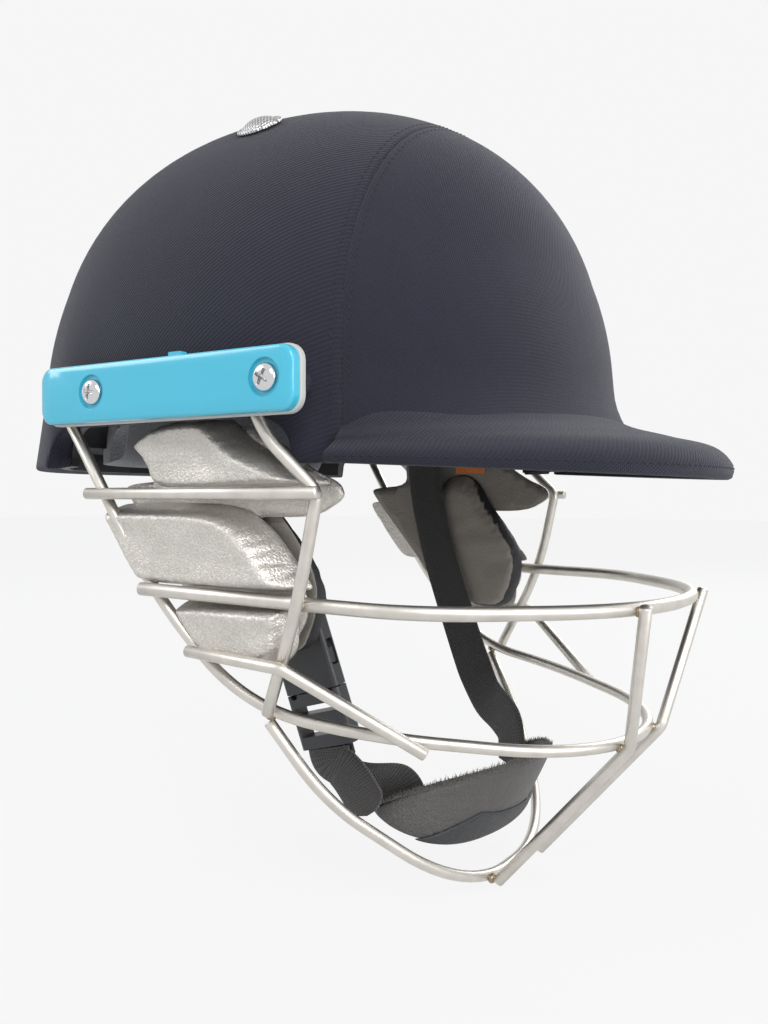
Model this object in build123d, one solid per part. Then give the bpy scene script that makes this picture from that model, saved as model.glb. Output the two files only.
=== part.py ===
from build123d import *
import os
from math import cos, pi, radians, sin, tan

# A cricket batting helmet: a cloth covered shell with a peak, a welded wire face guard,
# padded side guards and a chin strap with a side release buckle.
# Millimetres. +X is the wearer's left, the face looks along -Y and +Z is up.
# The origin is the middle of the head opening, in the plane of the rim.

# Crown, measured over its cloth
crown_half_width = 102.5
crown_half_length = 118.0
crown_dome_height = 107.5
crown_wall_height = 39.5
crown_centre_y = -4.5
crown_fullness = 2.2
crown_bands = 12
crown_steps = 16
crown_end_angle = 86.0
cover_thickness = 0.9
shell_wall = 3.0
layer_gap = 0.06
liner_thickness = 13.0
comfort_thickness = 7.0
seam_y = -72.0

# Openings over the ears
ear_arch_front_y = -57.0
ear_arch_rear_y = 52.0
ear_arch_height = 15.0
ear_arch_corner = 12.0

# Liner and comfort pads inside the crown
liner_edge_z = 8.0
liner_ear_extra = 5.0
brow_pad_rear_y = -48.0
nape_pad_front_y = 40.0
band_pad_low_z = 3.0
band_pad_height = 33.0
crown_pad_width = 78.0
crown_pad_length = 104.0
crown_pad_low_z = 108.0

# Peak, measured over its cloth
peak_half_width = 97.0
peak_reach = 101.4
peak_root_low_z = -0.8
peak_tip_low_z = -5.3
peak_root_rise = 14.8
peak_tip_rise = 26.3
peak_wall = 3.0
peak_steps = 16
peak_profile_shares = ((0.99, 0.99, 0.0), (1.0, 1.0, 0.17), (0.955, 0.957, 0.38), (0.90, 0.63, 0.76),
                       (0.87, 0.49, 1.0))

# Crown vents
vent_y = -14.0
vent_angle = 56.0
vent_radius = 9.0
vent_dome_height = 3.6
vent_spigot_radius = 5.0
vent_spigot_wall = 1.0
vent_spigot_depth = 4.2
vent_clearance = 0.15
vent_lift = 0.2
vent_ring_shares = ((1.0, 0.0), (1.0, 0.28), (0.80, 0.66), (0.45, 0.92), (0.18, 1.0))
vent_hole_radius = 1.3
vent_hole_place_share = 0.55
vent_hole_count = 5

# Side plates and what they clamp
plate_stand_off = 8.5
plate_thickness = 3.6
plate_bevel = 1.0
plate_length = 116.5
plate_height = 20.6
plate_corner = 5.0
plate_centre_y = -12.6
plate_centre_z = 24.8
plate_tab_length = 6.0
plate_tab_height = 1.2
plate_tab_y = -21.0
plate_backing_thickness = 2.4
plate_backing_margin = 0.6
mounting_bar_thickness = 2.0
mounting_bar_height = 14.0
mounting_bar_length = 112.0
front_screw_y = -59.7
rear_screw_y = 18.7
screw_z = 25.2
screw_radius = 2.4
screw_clearance = 0.08
screw_head_radius = 4.7
screw_head_height = 2.6
screw_recess_radius = 6.2
screw_recess_depth = 1.1
screw_head_bevel = 1.3
spacer_radius = 5.5
nut_flange_radius = 7.5
nut_flange_thickness = 1.3
nut_barrel_radius = 3.6
nut_barrel_clearance = 0.2
nut_pocket_clearance = 1.5

# Face guard rods
rod_radius = 2.1
ring_rod_radius = 2.4
rod_sides = 8
weld_gap = 0.15
bend_share = 0.49
tight_bend_radius = 6.0
guard_reach = 158.1
guard_drop = 155.0
rod_top_drop = 2.8
upright_bend_allowance = 1.2

# Routes of the rods, each place as shares of the guard's half width, its reach and its drop
rear_upright_top_share = 0.291
rear_upright_shares = ((0.9459, 0.0253, -0.3032), (0.8764, -0.2087, -0.5452))
lower_ring_shares = ((0.7792, -0.4997, -0.5871), (0.3782, -0.9032, -0.6323))
front_upright_top_share = -0.2846
front_upright_shares = ((0.9931, -0.3226, 0.0516), (0.9707, -0.4459, -0.0658), (0.9707, -0.3953, -0.3032),
                        (0.9092, -0.2846, -0.5484))
side_rod_shares = (0.1961, -0.4681, -0.0684)
upper_ring_start_shares = (0.038, -0.2871)
upper_ring_shares = ((0.9082, -0.6578, -0.3071), (0.3831, -1, -0.3129))
diagonal_shares = ((0.9667, -0.0886, -0.4219), (0.9816, -0.3605, -0.4348), (0.7464, -0.6135, -0.6123))
jaw_bar_shares = ((0.8566, -0.2625, -0.573), (0.7743, -0.3789, -0.7484), (0.3603, -0.5825, -1))
front_bar_touch_shares = ((0.3623, -0.9598, -0.3045), (0.1846, -0.8924, -0.6355), (0.1935, -0.5865, -0.982))

# Side guard padding, each pad as corner places over the box that holds it
pad_inset = 15.5
upper_pad_depth = 10.6
middle_pad_depth = 8.3
lower_pad_depth = 4.8
pad_shoulder_share = 0.55
pad_crown_share = 0.80
pad_base_share = 0.93
upper_pad_box = (-68.0, 13.0, -10.0, 16.6)
upper_pad_shares = ((0.0, 0.08), (0.05, 0.19), (0.40, 0.62), (0.52, 0.98), (0.68, 1.0), (0.88, 0.92), (1.0, 0.66),
                    (0.90, 0.42), (0.84, 0.05), (0.62, 0.0))
middle_pad_box = (-59.5, 27.5, -43.0, -14.6)
middle_pad_shares = ((0.0, 0.0), (0.02, 0.14), (0.18, 0.70), (0.31, 0.93), (0.46, 1.0), (0.98, 1.0), (1.0, 0.90),
                     (0.80, 0.10), (0.74, 0.0))
lower_pad_box = (-54.0, -4.5, -70.0, -48.5)
lower_pad_shares = ((0.0, 0.30), (0.0, 0.96), (0.06, 1.0), (0.93, 1.0), (1.0, 0.90), (0.80, 0.36), (0.64, 0.06),
                    (0.48, 0.0), (0.16, 0.04))
sheet_thickness = 1.5
sheet_gap = 0.3
sheet_box = (-73.0, 27.0, -64.0, 17.0)
sheet_shares = ((0.0, 0.64), (0.02, 0.70), (0.12, 0.75), (0.24, 0.85), (0.36, 0.94), (0.70, 1.0), (0.88, 0.90),
                (0.98, 0.74), (1.0, 0.66), (0.58, 0.05), (0.40, 0.0), (0.22, 0.02), (0.15, 0.14), (0.12, 0.30),
                (0.30, 0.56), (0.12, 0.56))
cheek_pad_thickness = 6.0
cheek_pad_lean = 6.0
cheek_pad_box = (-59.0, -12.0, -65.0, -2.0)
cheek_pad_shares = ((0.14, 0.02), (0.02, 0.22), (0.0, 0.36), (0.06, 0.50), (0.22, 0.66), (0.36, 0.78), (0.48, 0.93),
                    (0.62, 1.0), (0.84, 0.98), (1.0, 0.80), (0.92, 0.54), (0.74, 0.30), (0.52, 0.02))

# Chin strap
pivot_y = -8.0
pivot_z = 24.5
strap_inset = 24.5
strap_width = 18.0
strap_thickness = 1.5
strap_running_gap = 0.15
strap_lead = 4.6
tail_gap = 1.2
post_radius = 2.6
post_shoulder_radius = 5.0
post_head_radius = 5.5
post_head_thickness = 1.5
post_clearance = 0.06
post_liner_clearance = 0.4
strap_end_height = 8.0

# Routes of the strap: each place is a share of the pivot's distance out, then its Y and Z
far_strap_route = ((0.987, -9.0, 0.0), (0.949, -17.0, -32.0), (0.897, -29.0, -62.0), (0.808, -50.0, -104.0))
near_strap_route = ((-0.987, -9.5, 4.0), (-0.944, -20.0, -25.0))
buckle_top = (-0.885, -37.5, -50.0)
buckle_foot = (-0.806, -53.0, -104.5)
tail_route = ((-0.83, -56.5, -107.5), (-0.79, -67.5, -122.5))

# Side release buckle, along its own length
buckle_width = 24.0
buckle_thickness = 7.0
buckle_corner = 2.0
socket_length = 32.0
socket_wall = 1.8
socket_roof = 13.0
socket_slot_width = 15.0
socket_slot_height = 3.0
socket_slot_place = 9.6
window_start = 15.4
window_length = 9.2
plug_gap = 0.4
plug_length = 20.0
ladder_slot_width = 19.0
ladder_slot_height = 3.0
ladder_slot_shares = (0.30, 0.70)
tongue_width = 3.6
tongue_length = 17.0
prong_width = 2.6
prong_thickness = 3.0
prong_inner = 6.9
prong_tip = 14.8
prong_head_start = 16.6
prong_head_length = 7.4
prong_head_reach = 2.0
prong_clearance = 0.3

# Chin cup
cup_half_width = 53.0
cup_side_y = -67.0
cup_bow = 26.4
cup_z = -127.2
cup_roll = 2.4
cup_end_turn = 100.0
cup_steps = 12
cup_panel_steps = 8
cup_end_width = 7.0
cup_swell = 28.5
cup_front_lean = 30.0
cup_side_lean = 0
cup_thickness = 3.0
cup_panel_thickness = 1.0
cup_panel_share = 0.45
cup_stitch_gap = 0.3
tape_seat_steps = 1.5
tape_aim_steps = 0.5
tape_stitch_gap = 3.8
tape_dive_share = 0.8
tape_lead = 7.0
tape_hold = 3.0

# Size tab sewn inside, by the far temple
tab_y = -31.0
tab_z = 4.5
tab_length = 16.0
tab_height = 9.0
tab_thickness = 0.8

overrun = 5.0
round_sides = 12

shell_outer = cover_thickness + layer_gap
shell_inner = shell_outer + shell_wall
liner_outer = shell_inner + layer_gap
liner_inner = liner_outer + liner_thickness
comfort_outer = liner_inner + layer_gap
comfort_inner = comfort_outer + comfort_thickness
reach_all = crown_half_length + peak_reach
plate_face_x = crown_half_width + plate_stand_off
bar_inner_x = plate_face_x - plate_thickness - plate_backing_thickness - mounting_bar_thickness
guard_half_width = bar_inner_x - rod_radius - weld_gap
guard_top_z = plate_centre_z - rod_top_drop
rod_stand_off = 2 * rod_radius + weld_gap
ring_stand_off = rod_radius + ring_rod_radius + weld_gap
pad_back_x = crown_half_width - pad_inset
strap_pivot_x = crown_half_width - strap_inset


def flat_face(points):
    """Flat face inside a closed ring of points."""
    return make_face(Polyline(*points, close=True)).face()


def faceted_solid(slices, split=False):
    """Closed solid of flat faces through slices, with the four cornered faces split where they twist."""
    faces = [flat_face(slices[0]), flat_face(slices[-1])]
    for near, far in zip(slices, slices[1:]):
        for index, point in enumerate(near):
            after = (index + 1) % len(near)
            if split:
                faces.append(flat_face([point, near[after], far[after]]))
                faces.append(flat_face([point, far[after], far[index]]))
            else:
                faces.append(flat_face([point, near[after], far[after], far[index]]))
    solid = Solid(Shell(faces))
    if solid.volume > 0:
        return solid
    return faceted_solid([ring[::-1] for ring in slices], split)


def block(low, high):
    """Box between two corners."""
    size = [top - bottom for bottom, top in zip(low, high)]
    middle = [(top + bottom) / 2 for bottom, top in zip(low, high)]
    return Pos(*middle) * Box(*size)


def side_cylinder(radius, inner_x, outer_x, y, z):
    """Cylinder along X on the wearer's right, between two distances from the middle."""
    middle = (inner_x + outer_x) / 2
    return Pos(-middle, y, z) * Rot(0, 90, 0) * Cylinder(radius, outer_x - inner_x)


def side_prism(radius, inner_x, outer_x, y, z):
    """Round piece or bore drawn with flat sides, along X on the wearer's right."""
    middle = (inner_x + outer_x) / 2
    profile = RegularPolygon(radius, round_sides)
    return Pos(-middle, y, z) * Rot(0, 90, 0) * extrude(profile, amount=(outer_x - inner_x) / 2, both=True)


def save(name, shape):
    """Write one sub-part."""
    export_step(shape, f"parts/{name}.step")


def save_pair(name, right_shape):
    """Write a sub-part of the wearer's right and its mirror image on the left."""
    save(f"{name}_right", right_shape)
    save(f"{name}_left", mirror(right_shape, about=Plane.YZ))


def both_sides(right_shape):
    """The same solid on the right and, mirrored, on the left."""
    return right_shape + mirror(right_shape, about=Plane.YZ)


# Crown layers

def fullness_at(share):
    """Width share left at a length share of the crown's full oval."""
    return (1 - abs(share) ** crown_fullness) ** (1 / crown_fullness)


def band_shares():
    """Places of the crown's slices along its length, closer together towards the ends."""
    turns = [crown_end_angle * (2 * band / crown_bands - 1) for band in range(crown_bands + 1)]
    return [sin(radians(turn)) for turn in turns]


def crown_width_at(y, inset):
    """Half width of a crown layer where the wall is upright, between its two nearest slices."""
    shares = band_shares()
    places = [crown_centre_y + (crown_half_length - inset) * share for share in shares]
    widths = [(crown_half_width - inset) * fullness_at(share) for share in shares]
    for low, high, near, far in zip(places, places[1:], widths, widths[1:]):
        if low <= y <= high:
            return near + (far - near) * (y - low) / (high - low)
    return 0


def crown_slice(share, inset):
    """Upright slice across the crown: two straight walls and a half oval over them."""
    y = crown_centre_y + (crown_half_length - inset) * share
    width = (crown_half_width - inset) * fullness_at(share)
    rise = (crown_dome_height - inset) * fullness_at(share)
    turns = [pi * step / crown_steps for step in range(crown_steps + 1)]
    arch = [(-width * cos(turn), y, crown_wall_height + rise * sin(turn)) for turn in turns]
    return [(-width, y, 0), *arch, (width, y, 0)]


def crown_form(inset):
    """The crown's solid outer form, drawn in by an inset and closed at the rim."""
    return faceted_solid([crown_slice(share, inset) for share in band_shares()])


def ear_arches(extra=0):
    """Cutter for the rounded openings over both ears."""
    length = ear_arch_rear_y - ear_arch_front_y + 2 * extra
    height = 2 * (ear_arch_height + extra)
    middle_y = (ear_arch_rear_y + ear_arch_front_y) / 2
    profile = Plane.YZ * Pos(middle_y, 0) * RectangleRounded(length, height, ear_arch_corner)
    return extrude(profile, amount=crown_half_width + overrun, both=True)


def peak_slice(row, inset, drop):
    """Half oval outline in front of the seam, on a plane that slopes from the root to the tip."""
    width_share, reach_share, rise_share = row
    width = peak_half_width * width_share - inset
    reach = peak_reach * reach_share - inset
    lower = drop if rise_share == 0 else inset * rise_share
    root_z = peak_root_low_z + peak_root_rise * rise_share - lower
    tip_z = peak_tip_low_z + peak_tip_rise * rise_share - lower
    turns = [pi * step / peak_steps for step in range(peak_steps + 1)]
    return [
        (-width * cos(turn), seam_y - reach * sin(turn), root_z + (tip_z - root_z) * sin(turn))
        for turn in turns
    ]


def peak_form(inset, drop=0):
    """The peak's solid outer form, drawn in by an inset and, as a cutter, dropped below its edge."""
    return faceted_solid([peak_slice(row, inset, drop) for row in peak_profile_shares], split=True)


def vent_frame():
    """Plane on the crown's right side where a vent sits, looking outwards."""
    share = (vent_y - crown_centre_y) / crown_half_length
    width = crown_half_width * fullness_at(share)
    rise = crown_dome_height * fullness_at(share)
    turn = radians(vent_angle)
    place = (-width * cos(turn), vent_y, crown_wall_height + rise * sin(turn))
    return Plane(origin=place, x_dir=(0, 1, 0), z_dir=(-rise * cos(turn), 0, width * sin(turn)))


def vent_bores(radius):
    """Cutters for the two vent holes."""
    depth = liner_inner + overrun
    bore = extrude(RegularPolygon(radius, round_sides), amount=depth, both=True)
    return both_sides(vent_frame() * bore)


def screw_bores(radius):
    """Cutters for the four guard screws through the side walls."""
    bore = [side_prism(radius, crown_half_width / 2, plate_face_x + overrun, y, screw_z)
            for y in (front_screw_y, rear_screw_y)]
    return both_sides(bore[0] + bore[1])


def make_crown():
    """Shell with its peak moulding, the cloth over both, and the foam inside."""
    outer = crown_form(0)
    shell_face = crown_form(shell_outer)
    shell_void = crown_form(shell_inner)
    arches = ear_arches()
    bores = vent_bores(vent_spigot_radius + vent_clearance) + screw_bores(nut_barrel_radius + layer_gap)
    peak_face = peak_form(0)
    front_half = block((-reach_all, -reach_all, -overrun), (reach_all, seam_y, reach_all))

    cover = outer - crown_form(cover_thickness) - arches - bores
    save("cover_rear_panel", cover - front_half)
    save("cover_front_panel", (cover & front_half) - peak_face)
    save("cover_peak", peak_face - peak_form(cover_thickness, overrun) - outer)

    moulding = peak_form(shell_outer) - peak_form(shell_outer + peak_wall, overrun)
    moulding -= crown_form(shell_outer + shell_wall / 2)
    shell = shell_face - shell_void - arches - bores
    save("shell", shell + moulding)

    liner = crown_form(liner_outer) - crown_form(liner_inner) - ear_arches(liner_ear_extra)
    liner -= block((-reach_all, -reach_all, -overrun), (reach_all, reach_all, liner_edge_z))
    liner -= screw_bores(nut_flange_radius + nut_pocket_clearance)
    liner -= both_sides(side_cylinder(post_shoulder_radius + post_liner_clearance, strap_pivot_x / 2,
                                      crown_half_width, pivot_y, pivot_z))
    liner -= vent_bores(vent_spigot_radius + nut_pocket_clearance)
    save("impact_liner", liner)

    comfort = crown_form(comfort_outer) - crown_form(comfort_inner)
    band_top = band_pad_low_z + band_pad_height
    brow = block((-reach_all, -reach_all, band_pad_low_z), (reach_all, brow_pad_rear_y, band_top))
    nape = block((-reach_all, nape_pad_front_y, band_pad_low_z), (reach_all, reach_all, band_top))
    top = block((-crown_pad_width / 2, crown_centre_y - crown_pad_length / 2, crown_pad_low_z),
                (crown_pad_width / 2, crown_centre_y + crown_pad_length / 2, reach_all))
    save("brow_pad", comfort & brow)
    save("nape_pad", comfort & nape)
    save("crown_pad", comfort & top)


def ring_slice(radius, height, sides):
    """Many sided ring round Z at one height."""
    turns = [2 * pi * side / sides for side in range(sides)]
    return [(radius * cos(turn), radius * sin(turn), height) for turn in turns]


def make_vents():
    """Domed metal vent caps, each with a ring of holes and a short spigot through the shell."""
    cap = faceted_solid([ring_slice(vent_radius * out, vent_dome_height * up, round_sides)
                         for out, up in vent_ring_shares])
    cap += extrude(RegularPolygon(vent_spigot_radius, round_sides), amount=-vent_spigot_depth)
    bore = vent_spigot_radius - vent_spigot_wall
    cap -= extrude(RegularPolygon(bore, round_sides), amount=-vent_spigot_depth)
    for index in range(vent_hole_count):
        spot = Rot(0, 0, 360 * index / vent_hole_count) * Pos(bore * vent_hole_place_share, 0, 0)
        cap -= spot * Box(vent_hole_radius, vent_hole_radius, 2 * vent_dome_height + overrun)
    save("crown_vents", both_sides(vent_frame() * Pos(0, 0, vent_lift) * cap))


# Side plates, mounting bars and fasteners

def plate_outline(grow):
    """Rounded outline of the side plate, grown or shrunk all round."""
    return Plane.YZ * Pos(plate_centre_y, plate_centre_z) * RectangleRounded(
        plate_length + 2 * grow, plate_height + 2 * grow, plate_corner + grow)


def side_slab(profile, inner_x, outer_x):
    """Profile in the YZ plane made solid on the wearer's right, between two distances."""
    return Pos(-outer_x, 0, 0) * extrude(profile, amount=outer_x - inner_x)


def make_side_plates():
    """Gloss side plate, its backing, and the flat bar that carries the guard."""
    backing_x = plate_face_x - plate_thickness
    bar_x = backing_x - plate_backing_thickness
    holes = screw_bores(screw_radius + screw_clearance)

    plate = side_slab(plate_outline(0), backing_x, plate_face_x)
    rim = plate.faces().sort_by(Axis.X)[0].edges()
    plate = chamfer(rim, plate_bevel)
    tab_z = plate_centre_z + plate_height / 2
    plate += block((-plate_face_x + plate_bevel, plate_tab_y - plate_tab_length / 2, tab_z - plate_tab_height),
                   (-backing_x, plate_tab_y + plate_tab_length / 2, tab_z + plate_tab_height))
    for y in (front_screw_y, rear_screw_y):
        plate -= side_prism(screw_recess_radius, plate_face_x - screw_recess_depth, plate_face_x + overrun,
                               y, screw_z)
    save_pair("side_plate", plate - holes)

    backing = side_slab(plate_outline(plate_backing_margin), bar_x + layer_gap, backing_x - layer_gap)
    save_pair("plate_backing", backing - holes)

    profile = Plane.YZ * Pos(plate_centre_y, plate_centre_z) * Rectangle(mounting_bar_length, mounting_bar_height)
    bar = side_slab(profile, bar_x - mounting_bar_thickness, bar_x)
    save_pair("mounting_bar", bar - holes)


def seat_on_wall(y, radius, inset):
    """Distance from the middle where a round flange sits on a crown layer's upright wall."""
    return min(crown_width_at(y - radius, inset), crown_width_at(y + radius, inset))


def make_fasteners():
    """Pan head screws, the spacers on the front pair, and the flanged nuts inside the shell."""
    head_x = plate_face_x - screw_recess_depth
    screws, nuts = [], []
    for y in (front_screw_y, rear_screw_y):
        nut_x = seat_on_wall(y, nut_flange_radius, shell_inner) - layer_gap - nut_flange_thickness
        shank = side_prism(screw_radius, nut_x, head_x + screw_head_height / 2, y, screw_z)
        head = side_prism(screw_head_radius, head_x + layer_gap, head_x + screw_head_height, y, screw_z)
        head = chamfer(head.faces().sort_by(Axis.X)[0].edges(), screw_head_bevel)
        screws.append(shank + head)
        barrel_end = crown_width_at(y, 0) - nut_barrel_clearance
        nut = side_prism(nut_flange_radius, nut_x, nut_x + nut_flange_thickness, y, screw_z)
        nut += side_prism(nut_barrel_radius, nut_x, barrel_end, y, screw_z)
        bore = side_prism(screw_radius + screw_clearance, nut_x - overrun, barrel_end + overrun, y, screw_z)
        nuts.append(nut - bore)
    save("guard_screws", both_sides(screws[0] + screws[1]))
    save("guard_nuts", both_sides(nuts[0] + nuts[1]))

    spacer_x = crown_width_at(front_screw_y + spacer_radius, 0) + layer_gap
    spacer = side_prism(spacer_radius, spacer_x, bar_inner_x - layer_gap, front_screw_y, screw_z)
    spacer -= side_prism(screw_radius + screw_clearance, spacer_x - overrun, plate_face_x, front_screw_y, screw_z)
    save("guard_spacers", both_sides(spacer))


# Face guard

def on_right(point):
    """A place on the wearer's right, from its distance out, Y and Z."""
    return (-point[0], point[1], point[2])


def guard_places(rows):
    """Places on the wearer's left, from their shares of the guard's half width, reach and drop."""
    return [(across * guard_half_width, along * guard_reach, up * guard_drop) for across, along, up in rows]


def mirrored_route(points):
    """A route over the front, from its right half: the left half follows as a mirror image."""
    return [on_right(point) for point in points] + list(reversed(points))


def corner_radii(points, tight):
    """Bend radius at each inner point: as large as its runs allow, or small where the rod is bent sharply."""
    radii = []
    for index, (before, point, after) in enumerate(zip(points, points[1:], points[2:])):
        first = Vector(*point) - Vector(*before)
        second = Vector(*after) - Vector(*point)
        reach = bend_share * min(first.length, second.length)
        widest = reach / tan(radians(first.get_angle(second)) / 2)
        radii.append(min(widest, tight_bend_radius) if index in tight else widest)
    return radii


def bent_rod(points, radius, tight=()):
    """Wire bent along a route, with a many sided section."""
    path = FilletPolyline(*points, radius=corner_radii(points, tight))
    section = Plane(path @ 0, z_dir=path % 0) * RegularPolygon(radius, rod_sides)
    return sweep(section, path=path)


def make_rings():
    """The two rings round the face: each is one rod, bent from the right side round to the left."""
    rear_top = (guard_half_width, rear_upright_top_share * guard_reach, guard_top_z)
    lower = [rear_top] + guard_places(rear_upright_shares + lower_ring_shares)
    save("lower_ring_rod", bent_rod(mirrored_route(lower), rod_radius))

    start_along, start_up = upper_ring_start_shares
    start_x = lower[1][0] + ring_stand_off
    crossing = guard_places(front_upright_shares)[2]
    crossing_x = crossing[0] - ring_stand_off - upright_bend_allowance
    upper = [(start_x, start_along * guard_reach, start_up * guard_drop), (crossing_x, crossing[1], crossing[2])]
    upper += guard_places(upper_ring_shares)
    save("upper_ring_rod", bent_rod(mirrored_route(upper), ring_rod_radius))


def make_side_rods():
    """Front uprights, the short level rods and the diagonals of each side."""
    upright = [(guard_half_width, front_upright_top_share * guard_reach, guard_top_z)]
    upright += guard_places(front_upright_shares)
    save_pair("front_upright", bent_rod([on_right(point) for point in upright], rod_radius, tight=(1,)))

    rear_along, front_along, level_up = side_rod_shares
    level_z = level_up * guard_drop
    rear_bend = guard_places(rear_upright_shares)[0]
    drop_share = (guard_top_z - level_z) / (guard_top_z - rear_bend[2])
    rear_x = guard_half_width + (rear_bend[0] - guard_half_width) * drop_share
    level = Line((-rear_x - rod_stand_off, rear_along * guard_reach, level_z),
                 (-upright[2][0] - rod_stand_off, front_along * guard_reach, level_z))
    section = Plane(level @ 0, z_dir=level % 0) * RegularPolygon(rod_radius, rod_sides)
    save_pair("side_rod", sweep(section, path=level))

    diagonal = [on_right(point) for point in guard_places(diagonal_shares)]
    save_pair("diagonal_rod", bent_rod(diagonal, rod_radius, tight=(0,)))


def front_bar_route():
    """Places of a front bar on the wearer's right, standing off the rings and the jaw bar that it touches."""
    top, bend, end = [Vector(*on_right(place)) for place in guard_places(front_bar_touch_shares)]
    fall = end - bend
    under = Vector(0, fall.Z, -fall.Y).normalized()
    stands = (top - Vector(0, ring_stand_off, 0), bend - Vector(0, rod_stand_off, 0), end + under * rod_stand_off)
    return [tuple(place) for place in stands]


def make_front_bars():
    """The jaw bar under the chin and the two bars down the front."""
    save("jaw_bar", bent_rod(mirrored_route(guard_places(jaw_bar_shares)), rod_radius))
    save_pair("front_bar", bent_rod(front_bar_route(), rod_radius, tight=(0,)))


# Side guard padding

def pad_ring(box, shares, x, size_share, lean=0):
    """Outline of a pad at one distance from the middle, shrunk towards its centre and leaning inwards below."""
    rear_first, rear_last, low, high = box
    centre_y = (rear_first + rear_last) / 2
    centre_z = (low + high) / 2
    ring = []
    for along, up in shares:
        y = rear_first + (rear_last - rear_first) * along
        z = low + (high - low) * up
        ring.append((lean * (1 - up) - x, centre_y + (y - centre_y) * size_share,
                     centre_z + (z - centre_z) * size_share))
    return ring


def cushion(box, shares, back_x, face_x, lean=0):
    """Crowned pad: drawn in at its back, fullest in the middle, with a rounded shoulder and a raised face."""
    depth = face_x - back_x
    return faceted_solid([
        pad_ring(box, shares, back_x, pad_base_share),
        pad_ring(box, shares, back_x + depth * (1 - pad_shoulder_share) / 2, 1,
                 lean * (1 - pad_shoulder_share) / 2),
        pad_ring(box, shares, back_x + depth * pad_shoulder_share, 1, lean * pad_shoulder_share),
        pad_ring(box, shares, back_x + depth * pad_crown_share, pad_base_share, lean * pad_crown_share),
        pad_ring(box, shares, face_x, pad_shoulder_share, lean),
    ], split=lean != 0)


def make_side_pads():
    """Leather pads between the rods, the sheet that they are sewn to, and the cheek pad inside it."""
    for name, box, shares, depth in (
            ("upper_side_pad", upper_pad_box, upper_pad_shares, upper_pad_depth),
            ("middle_side_pad", middle_pad_box, middle_pad_shares, middle_pad_depth),
            ("lower_side_pad", lower_pad_box, lower_pad_shares, lower_pad_depth)):
        save_pair(name, cushion(box, shares, pad_back_x, pad_back_x + depth))
    sheet_face = pad_back_x - sheet_gap
    sheet_back = sheet_face - sheet_thickness
    save_pair("pad_sheet", faceted_solid([pad_ring(sheet_box, sheet_shares, sheet_back, 1),
                                          pad_ring(sheet_box, sheet_shares, sheet_face, 1)]))
    cheek_face = sheet_back - sheet_gap
    save_pair("cheek_pad", cushion(cheek_pad_box, cheek_pad_shares, cheek_face, cheek_face - cheek_pad_thickness,
                                   cheek_pad_lean))


# Chin strap

def strip(points, across, widths, thickness):
    """Flat strap through places, with the direction and size of its width at each."""
    slices = []
    for index, point in enumerate(points):
        before = Vector(*points[max(index - 1, 0)])
        after = Vector(*points[min(index + 1, len(points) - 1)])
        along = (after - before).normalized()
        wide = Vector(*across[index])
        wide = (wide - along * wide.dot(along)).normalized() * (widths[index] / 2)
        thick = along.cross(wide).normalized() * (thickness / 2)
        middle = Vector(*point)
        corners = (middle - wide - thick, middle + wide - thick, middle + wide + thick, middle - wide + thick)
        slices.append([tuple(corner) for corner in corners])
    return faceted_solid(slices, split=True)


def cup_frame(turn):
    """Middle of the cup's band at a turn from the front, its width direction and its outward direction."""
    angle = radians(turn)
    side = sin(angle)
    front = cos(angle)
    place = Vector(cup_half_width * side, cup_side_y - cup_bow * front,
                   cup_z - cup_roll * side)
    out = Vector(side * cup_bow, -front * cup_half_width, 0).normalized()
    lean = radians(cup_side_lean + (cup_front_lean - cup_side_lean) * front)
    up = Vector(0, 0, 1) * cos(lean) + out * sin(lean)
    outward = out * cos(lean) - Vector(0, 0, 1) * sin(lean)
    return place, up, outward


def cup_turn(step):
    """Turn from the front at a step along the cup, counted from its middle."""
    return 2 * cup_end_turn * step / cup_steps


def cup_band(steps, shares, inner, outer):
    """Part of the cup's wall over a number of steps, through shares of its width, between two depths."""
    slices = []
    for step in range(steps + 1):
        turn = cup_turn(step - steps / 2)
        place, up, outward = cup_frame(turn)
        width = cup_end_width + cup_swell * cos(radians(turn))
        edges = [up * (width * (share - 0.5)) for share in shares]
        ring = [place + edge + outward * inner for edge in edges]
        ring += [place + edge + outward * outer for edge in reversed(edges)]
        slices.append([tuple(corner) for corner in ring])
    return faceted_solid(slices, split=True)


def tape_end(side, beside):
    """Last two places of a tape sewn inside one end of the cup, and its width direction, matched to another."""
    seat_step = cup_steps / 2 - tape_seat_steps
    place, up, outward = cup_frame(side * cup_turn(seat_step))
    ahead = cup_frame(side * cup_turn(seat_step - tape_aim_steps))[0]
    front = (ahead - place).normalized()
    along = (front * (1 - tape_dive_share) - up * tape_dive_share).normalized()
    base = place - outward * (cup_thickness / 2 + tape_stitch_gap + strap_thickness / 2)
    across = along.cross(outward)
    if across.dot(Vector(*beside)) < 0:
        across = -across
    return [tuple(base - along * tape_lead), tuple(base + along * tape_hold)], tuple(across)


def strap_top(side):
    """The strap's top end, from above its pivot to below it."""
    x = side * strap_pivot_x
    return [(x, pivot_y, pivot_z + strap_end_height), (x, pivot_y, pivot_z - strap_end_height)]


def pivot_bore():
    """Cutter for the post through the strap ends."""
    return both_sides(side_cylinder(post_radius + post_clearance, strap_pivot_x / 2, crown_half_width,
                                    pivot_y, pivot_z))


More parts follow.
